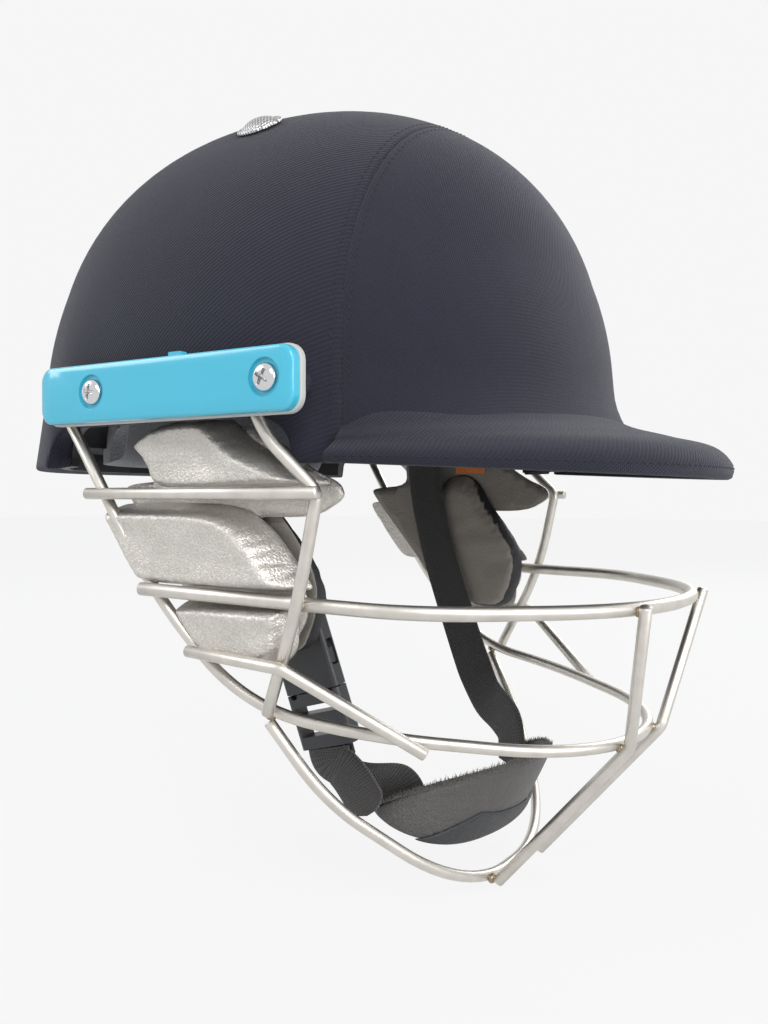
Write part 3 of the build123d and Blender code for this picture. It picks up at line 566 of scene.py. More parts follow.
# ---------------------------------------------------------------- Shell and impact liner
# The shell and peak are one ABS moulding, seen only from inside and below. The liner is moulded
# black foam pressed into it, with pockets for the nuts. Both are the CAD pieces as they are.
shell_black = "1A1A1D"
foam_black = "26272B"
foam_cell = 2.2 * mm
foam_depth = 0.2 * mm


def on_object(tree):
    """Place on the object in metres, by which a pattern keeps its real size."""
    return add_node(tree, "ShaderNodeTexCoord").outputs["Object"]


def grained(name, colour, roughness, grain, depth, **more):
    """Material in one colour whose surface is pressed with an even grain."""
    made, tree, shader = new_material(name, colour, roughness, **more)
    press(tree, shader, speckle(tree, on_object(tree), grain), depth)
    return made


# Moulded ABS: an even, half matt black with a very fine grain.
abs_plastic = grained("moulded_abs_black", shell_black, roughness=0.5, grain=0.8 * mm, depth=0.03 * mm)
# Moulded foam: a dull black of small closed cells.
liner_foam, foam_tree, foam_shader = new_material("moulded_foam_black", foam_black, roughness=0.9)
foam_cells = add_node(foam_tree, "ShaderNodeTexVoronoi", {"Vector": on_object(foam_tree), "Scale": 1 / foam_cell})
press(foam_tree, foam_shader, foam_cells.outputs["Distance"], foam_depth)
for node, material in (("shell", abs_plastic), ("impact_liner", liner_foam)):
    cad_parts[node].data.materials.clear()
    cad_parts[node].data.materials.append(material)


# ---------------------------------------------------------------- Comfort pads
# Grey brushed cloth over soft foam, stuck inside the liner: a brow pad, a nape pad that reaches
# down to the rim behind the ears, and a pad at the top. Their edges are pinched flat.
comfort_back_inset = 18.0
comfort_swell = 7.0
comfort_grey = "4A4B50"
comfort_light = "6E7076"
comfort_fibre = 0.9 * mm
comfort_nap = 0.9 * mm
band_pad_low_z = 2.2
band_pad_top_z = 36.0
band_pad_lift = 0.8
pinch_width = 9.0
pillow_curve = 2.4
crown_pad_half_width = 38.0
crown_pad_half_length = 51.0
crown_pad_inset = 18.3
crown_pad_taper = 0.18
crown_pad_swell = 6.4


def brushed_cloth(name, dark, light):
    """Brushed knit: short loose fibres that give a soft, slightly mottled grey.

    Single fibres are too fine to show, so the pattern is as coarse as tufts of them.
    """
    made, tree, shader = new_material(name, dark, roughness=0.95, Sheen_Weight=0.5, Sheen_Roughness=0.6,
                                      Specular_IOR_Level=0.1)
    fibres = speckle(tree, on_object(tree), comfort_fibre, 5.0)
    tint(tree, shader, fibres, dark, light)
    press(tree, shader, fibres, comfort_nap)
    return made


def pillow_height(from_edge):
    """Share of a pad's full thickness at a distance from its pinched edge."""
    share = min(1, max(0, from_edge / pinch_width))
    return (1 - (1 - share) ** pillow_curve) ** 0.5


def band_pad(first_y, way, rows=25, columns=61):
    """Pad round the front (way -1) or rear (way 1) end of the crown, from one side to the other."""
    outer, inner = [], []
    reach = crown_half_length - comfort_back_inset
    end = crown_centre_y + reach * way
    turn_first = np.arccos(np.clip((first_y - crown_centre_y) / (end - crown_centre_y), -1, 1))
    turns = np.linspace(-turn_first, turn_first, columns)
    length = turn_first * 2 * (crown_half_width - comfort_back_inset)
    for row in range(rows):
        up = row / (rows - 1)
        outer_row, inner_row = [], []
        for column, turn in enumerate(turns):
            share = abs(cos(turn))
            y = crown_centre_y + (end - crown_centre_y) * cos(turn)
            side = (1 - share ** crown_fullness) ** (1 / crown_fullness) * (1 if turn > 0 else -1)
            low = max(band_pad_low_z, arch_edge(y) + band_pad_lift)
            z = low + (band_pad_top_z - low) * up
            edge = min(up, 1 - up) * (band_pad_top_z - low)
            edge = min(edge, (0.5 - abs(column / (columns - 1) - 0.5)) * length)
            deep = comfort_swell * pillow_height(edge)
            for kept, inset in ((outer_row, 0.0), (inner_row, deep)):
                width = crown_half_width - comfort_back_inset - inset
                along = (reach - inset) / reach
                kept.append((width * side, crown_centre_y + (y - crown_centre_y) * along, z))
        outer.append(outer_row)
        inner.append(inner_row)
    return np.array(outer), np.array(inner)


def walled(outer, inner):
    """Faces of a closed shell between two grids of points, wall included."""
    rows, columns = outer.shape[:2]
    count = rows * columns
    faces = grid_faces(rows, columns) + [face[::-1] for face in grid_faces(rows, columns, start=count)]
    rim = list(range(columns)) + [row * columns + columns - 1 for row in range(1, rows)]
    rim += list(range(count - 2, count - columns - 1, -1)) + [row * columns for row in range(rows - 2, 0, -1)]
    for here, after in zip(rim, rim[1:] + rim[:1]):
        faces.append((after, here, count + here, count + after))
    return np.concatenate([outer.reshape(-1, 3), inner.reshape(-1, 3)]), faces


comfort_cloth = brushed_cloth("brushed_knit_grey", comfort_grey, comfort_light)
for name, node, first_y, way in (("brow_comfort_pad", "brow_pad", -49.0, -1),
                                 ("nape_comfort_pad", "nape_pad", 41.0, 1)):
    pad = make_piece(name, *walled(*band_pad(first_y, way)), comfort_cloth)
    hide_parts(node)


def crown_pad_place(across, along, swell):
    """Place on the crown pad, from shares across and along it, for a swell in its middle."""
    deep = swell * pillow_height(min((1 - abs(across)) * crown_pad_half_width,
                                     (1 - abs(along)) * crown_pad_half_length))
    y = crown_centre_y + crown_pad_half_length * along
    x = crown_pad_half_width * across * (1 - crown_pad_taper * along ** 2) ** 0.5
    full = crown_fullness_at(y, crown_pad_inset + deep)
    width = (crown_half_width - crown_pad_inset - deep) * full
    rise = (crown_dome_height - crown_pad_inset - deep) * full
    return (x, y, crown_wall_height + rise * max(0, 1 - (x / width) ** 2) ** 0.5)


pad_shares = np.linspace(-1, 1, 33)
crown_sides = [np.array([[crown_pad_place(across, along, swell) for across in pad_shares] for along in pad_shares])
               for swell in (0, crown_pad_swell)]
top_pad = make_piece("crown_comfort_pad", *walled(*crown_sides), comfort_cloth)
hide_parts("crown_pad")


# ---------------------------------------------------------------- Crown vents
# Two pressed steel vent caps over holes in the shell: a rolled rim and a domed woven mesh.
vent_y = -14.0
vent_angle = 56.0
# Radius and height of each ring of the cap, from its rolled rim to its top.
vent_profile = ((8.2, -0.1), (8.9, 0.05), (9.0, 0.7), (8.6, 1.25), (8.0, 1.35), (7.5, 1.0), (7.2, 0.95),
                (6.6, 1.55), (5.4, 2.35), (4.0, 2.95), (2.4, 3.4), (1.0, 3.56))
vent_lift = 0.25
vent_mesh_pitch = 1.1 * mm
vent_mesh_slant = 0.35
vent_mesh_depth = 0.25 * mm
bright_steel_grey = "B9BABC"
mesh_gap_grey = "6A6B6E"
mesh_wire_grey = "E2E2E3"


def capped_faces(rings, sides):
    """Faces between rings of points, with both ends closed."""
    return grid_faces(rings, sides, joined=True) + [
        tuple(range(sides - 1, -1, -1)), tuple(range((rings - 1) * sides, rings * sides))]


def turned_solid(profile, centre, axis, sides=48):
    """Points and faces of a closed piece turned about an axis, from radius and height pairs."""
    axis = Vector(axis).normalized()
    first = Vector((0, 1, 0)).cross(axis).normalized()
    second = axis.cross(first)
    points = []
    for radius, height in profile:
        for turn in (2 * pi * side / sides for side in range(sides)):
            points.append(tuple(Vector(centre) + axis * height + (first * cos(turn) + second * sin(turn)) * radius))
    return points, capped_faces(len(profile), sides)


def joined_shapes(*shapes):
    """Several lists of points and faces as one."""
    points, faces = [], []
    for shape_points, shape_faces in shapes:
        faces += [tuple(len(points) + index for index in face) for face in shape_faces]
        points += [tuple(place) for place in shape_points]
    return points, faces


def mirrored_shape(shape):
    """The same points and faces on the wearer's other side."""
    return [(-x, y, z) for x, y, z in shape[0]], [tuple(reversed(face)) for face in shape[1]]


# Pressed steel mesh: bright crossing wires with darker gaps between them.
vent_steel, vent_tree, vent_shader = new_material("pressed_steel_vent", bright_steel_grey, roughness=0.32, metallic=1.0)
vent_place = on_object(vent_tree)
vent_weave = sum_of(vent_tree, *[(ribs(vent_tree, vent_place, (vent_mesh_slant, way, vent_mesh_slant),
                                       vent_mesh_pitch), 0.5) for way in (1, -1)])
tint(vent_tree, vent_shader, vent_weave, mesh_gap_grey, mesh_wire_grey)
press(vent_tree, vent_shader, vent_weave, vent_mesh_depth)
vent_full = crown_fullness_at(vent_y)
vent_turn = radians(vent_angle)
vent_centre = (-crown_half_width * vent_full * cos(vent_turn), vent_y,
               crown_wall_height + crown_dome_height * vent_full * sin(vent_turn))
vent_axis = (-crown_dome_height * cos(vent_turn), 0, crown_half_width * sin(vent_turn))
vent_shape = turned_solid([(radius, height + vent_lift) for radius, height in vent_profile], vent_centre, vent_axis)
vents = make_piece("crown_vent_caps", *joined_shapes(vent_shape, mirrored_shape(vent_shape)), vent_steel)
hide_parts("crown_vents")


# ---------------------------------------------------------------- Side plates
# A turquoise gloss plate, moulded in ABS with a bevelled edge and two round recesses, lies over a
# pale nylon backing and the flat steel bar that carries the guard; two screws hold all three.
plate_face_x = 111.0
plate_thickness = 3.6
plate_bevel = 1.1
plate_length = 116.5
plate_height = 20.6
plate_corner = 5.0
plate_centre = (-12.6, 24.8)
plate_tab_y = -21.0
plate_tab_length = 6.0
plate_tab_height = 1.2
plate_tab_corner = 0.5
backing_thickness = 2.3
backing_margin = 0.6
backing_bevel = 0.4
bar_thickness = 2.0
bar_length = 112.0
bar_height = 14.0
bar_corner = 1.5
bar_bevel = 0.3
layer_gap = 0.06
screw_places = (-59.7, 18.7)
screw_z = 25.2
recess_radius = 6.2
recess_depth = 1.1
recess_draft = 0.25
hole_radius = 2.5
bevel_steps = (0, 0.4, 0.75, 1)
turquoise = "3FB0CB"
backing_grey = "B9BAB7"
strip_grey = "B4B2AD"


def rounded_outline(centre, length, height, corner, steps=9):
    """Outline of a plate with rounded corners, as places along Y and Z."""
    outline = []
    for side_y, side_z, start in ((1, 1, 0), (-1, 1, 90), (-1, -1, 180), (1, -1, 270)):
        y = centre[0] + side_y * (length / 2 - corner)
        z = centre[1] + side_z * (height / 2 - corner)
        for step in range(steps):
            turn = radians(start + 90 * step / (steps - 1))
            outline.append((y + corner * cos(turn), z + corner * sin(turn)))
    return outline


def circle_outline(centre, radius, sides=40):
    """Outline of a round hole, as places along Y and Z."""
    return [(centre[0] + radius * cos(2 * pi * side / sides), centre[1] + radius * sin(2 * pi * side / sides))
            for side in range(sides)]


def inside_outline(places, outline):
    """Which places lie inside an outline."""
    y0, z0 = np.array(outline).T
    y1, z1 = np.roll(outline, -1, axis=0).T
    y, z = places[:, 0:1], places[:, 1:2]
    with np.errstate(divide="ignore", invalid="ignore"):
        crossed = ((z0 > z) != (z1 > z)) & (y < (y1 - y0) * (z - z0) / (z1 - z0) + y0)
    return crossed.sum(axis=1) % 2 == 1


def flat_layer(outline, holes, radius, x):
    """Flat faces on the wearer's right that fill an outline and leave its holes open."""
    loops = [outline] + [circle_outline(hole, radius) for hole in holes]
    edges = []
    for loop in loops:
        edges += [(len(edges) + at, len(edges) + (at + 1) % len(loop)) for at in range(len(loop))]
    points, _, faces = geometry.delaunay_2d_cdt([Vector(place) for loop in loops for place in loop], edges,
                                                [], 2, 1e-5)[:3]
    middles = np.array([np.mean([tuple(points[index]) for index in face], axis=0) for face in faces])
    hollow = sum((inside_outline(middles, loop) for loop in loops[1:]), np.zeros(len(faces), bool))
    return [(-x, *point) for point in points], [tuple(face) for face, empty in zip(faces, hollow) if not empty]


def loop_walls(loops):
    """Faces between each two loops that follow each other, given as places along Y and Z and a depth."""
    return [([(-x, y, z) for places, x in pair for y, z in places], grid_faces(2, len(pair[0][0]), joined=True))
            for pair in zip(loops, loops[1:])]


def plate_shape(outline, holes, inner_x, outer_x, bevel=0, recessed=False):
    """Flat plate on the wearer's right: holes through it, a bevelled rim and, if asked, a recess round each hole."""
    middle = (sum(y for y, _ in outline) / len(outline), sum(z for _, z in outline) / len(outline))
    rims = [(outline, inner_x)]
    for step in bevel_steps if bevel else (0,):
        drawn = bevel * (1 - (1 - step ** 2) ** 0.5)
        rims.append(([(y - max(-drawn, min(drawn, y - middle[0])), z - max(-drawn, min(drawn, z - middle[1])))
                      for y, z in outline], outer_x - bevel * (1 - step)))
    bore = [(hole_radius, outer_x)]
    if recessed:
        floor_x = outer_x - recess_depth
        bore = [(recess_radius, outer_x), (recess_radius - recess_draft, floor_x), (hole_radius, floor_x)]
    bore.append((hole_radius, inner_x))
    shapes = [flat_layer(outline, holes, hole_radius, inner_x), *loop_walls(rims),
              flat_layer(rims[-1][0], holes, bore[0][0], outer_x)]
    for hole in holes:
        shapes += loop_walls([(circle_outline(hole, radius), x) for radius, x in bore])
    return joined_shapes(*shapes)


def make_pair(name, shape, material, node, sharp=50):
    """A piece of the wearer's right and its mirror image, standing for a pair of CAD nodes."""
    pair = []
    for side, given in (("right", shape), ("left", mirrored_shape(shape))):
        made = make_piece(f"{name}_{side}", *given, material, sharp=sharp)
        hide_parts(f"{node}_{side}")
        pair.append(made)
    return pair


# Gloss moulded ABS: a clear, slightly wavy mirror of the room over turquoise.
gloss_abs = grained("gloss_abs_turquoise", turquoise, roughness=0.16, grain=9 * mm, depth=0.05 * mm,
                    Coat_Weight=0.5, Coat_Roughness=0.06)
# Moulded nylon: a pale grey, half matt line round the plate.
nylon = grained("moulded_nylon_pale", backing_grey, roughness=0.42, grain=0.6 * mm, depth=0.02 * mm)
# Cold rolled strip: a smooth, soft metal sheen in the gap behind the plate.
strip_steel = new_material("cold_rolled_steel_strip", strip_grey, roughness=0.34, metallic=1.0)[0]

plate_holes = [(y, screw_z) for y in screw_places]
backing_face_x = plate_face_x - plate_thickness - layer_gap
bar_face_x = backing_face_x - backing_thickness - layer_gap
make_pair("turquoise_side_plate", joined_shapes(
    plate_shape(rounded_outline(plate_centre, plate_length, plate_height, plate_corner), plate_holes,
                backing_face_x + layer_gap, plate_face_x, plate_bevel, recessed=True),
    plate_shape(rounded_outline((plate_tab_y, plate_centre[1] + plate_height / 2), plate_tab_length,
                                2 * plate_tab_height, plate_tab_corner, steps=5),
                [], backing_face_x + layer_gap, plate_face_x - plate_bevel)),
          gloss_abs, "side_plate", sharp=35)
make_pair("plate_backing_strip", plate_shape(
    rounded_outline(plate_centre, plate_length + 2 * backing_margin, plate_height + 2 * backing_margin,
                    plate_corner + backing_margin),
    plate_holes, bar_face_x + layer_gap, backing_face_x, backing_bevel), nylon, "plate_backing")
make_pair("guard_mounting_bar", plate_shape(
    rounded_outline(plate_centre, bar_length, bar_height, bar_corner), plate_holes, bar_face_x - bar_thickness,
    bar_face_x, bar_bevel), strip_steel, "mounting_bar")


# ---------------------------------------------------------------- Guard fasteners
# Chromed pan head screws with a cross recess go through plate, backing, bar and shell into
# flanged nuts inside. A round steel spacer fills the gap behind the front screw of each side.
head_radius = 4.7
head_height = 2.6
head_curve = 3.4
head_rings = 26
head_sides = 96
head_ring_spacing = 0.8
head_rim = 0.2
cross_half_length = 2.7
cross_half_width = 0.62
cross_depth = 1.5
cross_side_slope = 0.22
cross_end_slope = 0.4
cross_turns = (28, 12)
shank_radius = 2.4
shank_tip_radius = 0.5
shank_reach = 0.4
shank_tip_inset = 1.3
shell_inner_inset = 3.96
nut_flange_radius = 7.5
nut_flange_back = 1.5
nut_flange_front = 0.3
nut_flange_edge = 0.3
nut_barrel_radius = 3.6
nut_barrel_length = 3.4
nut_bore_radius = 2.5
spacer_radius = 5.5
spacer_edge = 0.4
spacer_gap = 0.3
chrome_silver = "D2D3D5"

# Chrome plate over steel: a small, almost perfect mirror.
chrome = new_material("polished_chrome_plate", chrome_silver, roughness=0.14, metallic=1.0)[0]


def screw_head_height(along, up):
    """Height of the pan head over its seat, with the cross pressed into it."""
    out = (along ** 2 + up ** 2) ** 0.5
    share = min(1, out / head_radius)
    dome = head_height * (1 - share ** head_curve) ** 0.5
    deep = 0
    for first, second in ((along, up), (up, along)):
        across = min(1, max(0, (cross_half_width - abs(second)) / cross_side_slope))
        length = min(1, max(0, (cross_half_length - abs(first)) / cross_end_slope))
        deep = max(deep, cross_depth * min(across, length))
    return dome - deep


def turned_at_screw(profile, y, sides=48):
    """Piece turned about the line of a screw on the wearer's right, its heights measured from the middle plane."""
    return turned_solid(profile, (0, y, screw_z), (-1, 0, 0), sides)


def screw_shape(y, cross_turn):
    """One screw: domed head, cross recess and plain shank."""
    seat_x = plate_face_x - recess_depth
    points = []
    for ring in range(head_rings, 0, -1):
        out = head_radius * (ring / head_rings) ** head_ring_spacing
        for side in range(head_sides):
            turn = 2 * pi * side / head_sides
            height = screw_head_height(out * cos(turn), out * sin(turn))
            points.append((-seat_x - height, y + out * cos(turn + radians(cross_turn)),
                           screw_z + out * sin(turn + radians(cross_turn))))
    faces = grid_faces(head_rings, head_sides, joined=True)
    faces.append(tuple((head_rings - 1) * head_sides + side for side in range(head_sides)))
    tip_x = crown_half_width * crown_fullness_at(y) - shell_inner_inset - shank_tip_inset
    shank = turned_at_screw([(shank_tip_radius, tip_x), (shank_radius, tip_x), (shank_radius, seat_x + shank_reach),
                             (head_radius - head_rim, seat_x + shank_reach)], y, sides=24)
    return joined_shapes((points, faces), shank)


def nut_shape(y):
    """Flanged nut inside the shell."""
    x = crown_half_width * crown_fullness_at(y) - shell_inner_inset
    back, front, end = x - nut_flange_back, x - nut_flange_front, x + nut_barrel_length
    return turned_at_screw([(nut_bore_radius, back), (nut_flange_radius - nut_flange_edge, back),
                            (nut_flange_radius, back + nut_flange_edge), (nut_flange_radius, front),
                            (nut_barrel_radius, front), (nut_barrel_radius, end), (nut_bore_radius, end)],
                           y, sides=40)


screws = [screw_shape(*place) for place in zip(screw_places, cross_turns)]
nuts = [nut_shape(y) for y in screw_places]
spacer_inner_x = crown_half_width * crown_fullness_at(screw_places[0]) + spacer_gap
spacer_outer_x = bar_face_x - bar_thickness
spacer_shape = turned_at_screw([
    (spacer_radius - spacer_edge, spacer_inner_x), (spacer_radius, spacer_inner_x + spacer_edge),
    (spacer_radius, spacer_outer_x - spacer_edge), (spacer_radius - spacer_edge, spacer_outer_x)], screw_places[0])
for name, node, shapes in (("guard_screw_set", "guard_screws", screws), ("guard_nut_set", "guard_nuts", nuts),
                           ("guard_spacer_pair", "guard_spacers", [spacer_shape])):
    made = make_piece(name, *joined_shapes(*shapes, *[mirrored_shape(shape) for shape in shapes]), chrome, sharp=35)
    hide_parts(node)


# ---------------------------------------------------------------- Face guard
# Round stainless wire, bent cold and resistance welded where the rods cross: two rings round the
# face, an upright, a short level rod and a diagonal on each side, a jaw bar and two front bars.
rod_radius = 2.1
ring_radius = 2.4
rod_end_edge = 0.35
weld_gap = 0.15
bend_share = 0.49
tight_bend = 6.0
guard_half_width = 100.75
guard_reach = 158.1
guard_drop = 155.0
guard_top_z = 22.0
ring_set_in = 1.2
touching = 2 * rod_radius + weld_gap
touching_ring = rod_radius + ring_radius + weld_gap
wire_silver = "C4BFB6"
wire_shade = "C0BCB5"
wire_light = "E0DCD5"
wire_cloud = 6 * mm
wire_grain = 1.6 * mm
wire_depth = 0.04 * mm


def guard_place(across, along, up):
    """A place on the wearer's right, from its shares of the guard's half width, reach and drop."""
    return (-across * guard_half_width, along * guard_reach, up * guard_drop)


def both_ways(route):
    """A route from the wearer's right round to the left."""
    return route + [(-x, y, z) for x, y, z in reversed(route)]


def bent_path(route, tight=(), steps=12):
    """Centre line of a wire: straight runs joined by arcs as large as the runs allow."""
    places = [np.array(place, float) for place in route]
    path = [places[0]]
    for index in range(1, len(places) - 1):
        before, corner, after = places[index - 1:index + 2]
        first, second = corner - before, after - corner
        run = bend_share * min(np.linalg.norm(first), np.linalg.norm(second))
        first, second = first / np.linalg.norm(first), second / np.linalg.norm(second)
        turn = np.arccos(np.clip(first @ second, -1, 1))
        radius = run / tan(turn / 2)
        if index - 1 in tight:
            radius = min(radius, tight_bend)
        start = corner - first * radius * tan(turn / 2)
        inwards = second - first * (first @ second)
        inwards /= np.linalg.norm(inwards)
        centre = start + inwards * radius
        path += [centre + radius * (first * sin(turn * step / steps) - inwards * cos(turn * step / steps))
                 for step in range(steps + 1)]
    return np.array(path + [places[-1]])


def wire_shape(path, radius, sides=20):
    """Round wire along a path, with square cut ends whose edge is slightly rounded."""
    along = np.gradient(path, axis=0)
    along /= np.linalg.norm(along, axis=1)[:, None]
    across = np.cross(along[0], (0, 0, 1) if abs(along[0][2]) < 0.9 else (0, 1, 0))
    rings = [(path[0], along[0], radius - rod_end_edge), (path[0] + along[0] * rod_end_edge, along[0], radius)]
    rings += [(place, way, radius) for place, way in zip(path[1:-1], along[1:-1])]
    rings += [(path[-1] - along[-1] * rod_end_edge, along[-1], radius),
              (path[-1], along[-1], radius - rod_end_edge)]
    points = []
    for centre, way, size in rings:
        across = across - way * (across @ way)
        across /= np.linalg.norm(across)
        other = np.cross(way, across)
        points += [centre + size * (across * cos(2 * pi * side / sides) + other * sin(2 * pi * side / sides))
                   for side in range(sides)]
    return points, capped_faces(len(rings), sides)


# Routes of the rods from the wearer's right, in shares of the guard's half width, reach and drop.
rear_upright = [(-guard_half_width, 0.291 * guard_reach, guard_top_z), guard_place(0.9459, 0.0253, -0.3032)]
lower_ring = rear_upright + [guard_place(0.8764, -0.2087, -0.5452), guard_place(0.7792, -0.4997, -0.5871),
                             guard_place(0.3782, -0.9032, -0.6323)]
front_upright = [(-guard_half_width, -0.2846 * guard_reach, guard_top_z), guard_place(0.9931, -0.3226, 0.0516),
                 guard_place(0.9707, -0.4459, -0.0658), guard_place(0.9707, -0.3953, -0.3032),
                 guard_place(0.9092, -0.2846, -0.5484)]
upper_ring = [(rear_upright[1][0] - touching_ring, 0.038 * guard_reach, -0.2871 * guard_drop),
              (front_upright[3][0] + touching_ring + ring_set_in, front_upright[3][1], front_upright[3][2]),
              guard_place(0.9082, -0.6578, -0.3071), guard_place(0.3831, -1, -0.3129)]
side_rod_z = -0.0684 * guard_drop
rear_share = (guard_top_z - side_rod_z) / (guard_top_z - rear_upright[1][2])
side_rod = [(rear_upright[0][0] + (rear_upright[1][0] - rear_upright[0][0]) * rear_share - touching,
             0.1961 * guard_reach, side_rod_z),
            (front_upright[2][0] - touching, -0.4681 * guard_reach, side_rod_z)]
diagonal = [guard_place(0.9667, -0.0886, -0.4219), guard_place(0.9816, -0.3605, -0.4348),
            guard_place(0.7464, -0.6135, -0.6123)]
jaw_bar = [guard_place(0.8566, -0.2625, -0.573), guard_place(0.7743, -0.3789, -0.7484),
           guard_place(0.3603, -0.5825, -1)]
bar_top, bar_bend, bar_end = [np.array(guard_place(*shares)) for shares in (
    (0.3623, -0.9598, -0.3045), (0.1846, -0.8924, -0.6355), (0.1935, -0.5865, -0.982))]
fall = bar_end - bar_bend
under = np.array((0, fall[2], -fall[1])) / np.hypot(fall[1], fall[2])
front_bar = [bar_top - (0, touching_ring, 0), bar_bend - (0, touching, 0), bar_end + under * touching]

# Tumbled stainless wire: a bright, softly clouded metal that keeps its highlights broad.
wire, wire_tree, wire_shader = new_material("stainless_wire_tumbled", wire_silver, roughness=0.42, metallic=1.0)
wire_place = on_object(wire_tree)
tint(wire_tree, wire_shader, speckle(wire_tree, wire_place, wire_cloud, 4.0), wire_shade, wire_light)
press(wire_tree, wire_shader, speckle(wire_tree, wire_place, wire_grain), wire_depth)

paths = {
    "lower_ring_rod": (bent_path(both_ways(lower_ring)), rod_radius),
    "upper_ring_rod": (bent_path(both_ways(upper_ring)), ring_radius),
    "jaw_bar": (bent_path(both_ways(jaw_bar)), rod_radius),
}
side_paths = {
    "front_upright": (bent_path(front_upright, tight=(1,)), rod_radius),
    "side_rod": (np.array(side_rod), rod_radius),
    "diagonal_rod": (bent_path(diagonal, tight=(0,)), rod_radius),
    "front_bar": (bent_path(front_bar, tight=(0,)), rod_radius),
}
for node, (path, radius) in paths.items():
    made = make_piece(node + "_wire", *wire_shape(path, radius), wire, sharp=60)
    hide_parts(node)
for node, (path, radius) in side_paths.items():
    make_pair(node + "_wire", wire_shape(path, radius), wire, node, sharp=60)


# ---------------------------------------------------------------- Weld marks
# Where two rods cross, resistance welding leaves a small squeezed bead and a straw tint.
weld_radius = 2.0
weld_half_height = 1.5
weld_rings = 8
weld_sides = 14
weld_reach = 0.6
weld_tan = "A38F70"
weld_brown = "7C6A52"
weld_straw = "B9AC97"
weld_cloud = 1.5 * mm
weld_grain = 0.8 * mm
weld_depth = 0.25 * mm

# Heat tinted weld: rough metal between straw and brown, where two bright rods meet.
weld_tint, weld_tree, weld_shader = new_material("heat_tinted_weld", weld_tan, roughness=0.42, metallic=1.0)
weld_place = on_object(weld_tree)
tint(weld_tree, weld_shader, speckle(weld_tree, weld_place, weld_cloud), weld_brown, weld_straw)
press(weld_tree, weld_shader, speckle(weld_tree, weld_place, weld_grain), weld_depth)


def nearest_places(first, second):
    """The two closest places of two wires, each to within half a millimetre."""
    def finer(path):
        return np.concatenate([np.linspace(here, after, max(2, int(np.linalg.norm(after - here) * 2)))
                               for here, after in zip(path, path[1:])])
    first, second = finer(first), finer(second)
    gaps = np.linalg.norm(first[:, None] - second[None], axis=2)
    at, by = np.unravel_index(gaps.argmin(), gaps.shape)
    return first[at], second[by], gaps[at, by]


def bead_shape(first, second):
    """Squeezed bead between two crossing rods."""
    way = (second - first) / np.linalg.norm(second - first)
    profile = [(weld_radius * sin(pi * step / weld_rings), -weld_half_height * cos(pi * step / weld_rings))
               for step in range(1, weld_rings)]
    return turned_solid(profile, tuple((first + second) / 2), tuple(way), weld_sides)


right_half = {name: path[:len(path) // 2 + 1] for name, (path, _) in paths.items()}
right_half.update({name: path for name, (path, _) in side_paths.items()})
halves = list(right_half.values())
beads = []
for index, half in enumerate(halves):
    for other in halves[index + 1:]:
        place, facing, gap = nearest_places(half, other)
        if gap < touching_ring + weld_reach:
            beads.append(bead_shape(place, facing))
weld_beads = make_piece("weld_beads", *joined_shapes(*beads, *[mirrored_shape(bead) for bead in beads]), weld_tint)


# ---------------------------------------------------------------- Side guard pads
# Three pads of silver foiled leather over foam fill the gaps between the rods on each side. They
# are sewn to one leather sheet, silver outside and greige inside, with a two tone cushion behind.
pad_back_x = 87.0
side_pad_depth = 12.2
side_pad_shoulder = 3.6
lower_pad_depth = 9.0
lower_pad_shoulder = 3.4
# Each box: its front and rear ends along Y, then its foot and its top.
upper_pad_box = (-68.0, 13.0, -10.0, 16.6)
middle_pad_box = (-59.5, 27.5, -43.0, -14.6)
lower_pad_box = (-54.0, -4.5, -70.0, -48.5)
cheek_pad_box = (-59.0, -12.0, -65.0, -2.0)
sheet_box = (-73.0, 27.0, -64.0, 17.0)
# Each outline: shares of its box, rearwards and upwards, in order round it.
upper_pad_shares = ((0.0, 0.08), (0.05, 0.19), (0.40, 0.62), (0.52, 0.98), (0.68, 1.0), (0.88, 0.92), (1.0, 0.66),
                    (0.90, 0.42), (0.84, 0.05), (0.62, 0.0))
middle_pad_shares = ((0.0, 0.0), (0.02, 0.14), (0.18, 0.70), (0.31, 0.93), (0.46, 1.0), (0.98, 1.0), (1.0, 0.90),
                     (0.80, 0.10), (0.74, 0.0))
lower_pad_shares = ((0.0, 0.30), (0.0, 0.96), (0.06, 1.0), (0.93, 1.0), (1.0, 0.90), (0.80, 0.36), (0.64, 0.06),
                    (0.48, 0.0), (0.16, 0.04))
cheek_pad_shares = ((0.14, 0.02), (0.02, 0.22), (0.0, 0.36), (0.06, 0.50), (0.22, 0.66), (0.36, 0.78), (0.48, 0.93),
                    (0.62, 1.0), (0.84, 0.98), (1.0, 0.80), (0.92, 0.54), (0.74, 0.30), (0.52, 0.02))
sheet_shares = ((0.0, 0.64), (0.02, 0.70), (0.12, 0.75), (0.24, 0.85), (0.36, 0.94), (0.70, 1.0), (0.80, 0.86),
                (0.79, 0.72), (1.0, 0.70), (1.0, 0.66), (0.58, 0.05), (0.40, 0.0), (0.22, 0.02), (0.15, 0.14),
                (0.155, 0.27), (0.42, 0.56), (0.12, 0.56))
sheet_face_x = 86.7
sheet_thickness = 1.4
sheet_wave = 0.25
sheet_wave_size = 16
pad_grid_pitch = 1.3
pad_margin = 0.5
sheet_grid_pitch = 4.0
sheet_margin = 1.5
grid_row_share = 0.87
pad_spread = 1.05
corner_cut = 0.2
corner_rounds = 2
pad_curve = 2.3
pad_hollow = 0.05
pad_hollow_run = 7
face_slant = 0.08
swell_height = 0.7
swell_rise = 1.2
swell_length = 13
swell_width = 9
pucker_pitch = 5.2
pucker_drift = 2.6
pucker_drift_run = 9
pucker_from_edge = 1.6
pucker_reach = 2.0
back_lean_share = 0.3
cheek_back_x = 84.6
cheek_depth = -6.0
cheek_shoulder = 5.0
cheek_lean = 6.0
cheek_pucker = 0.25
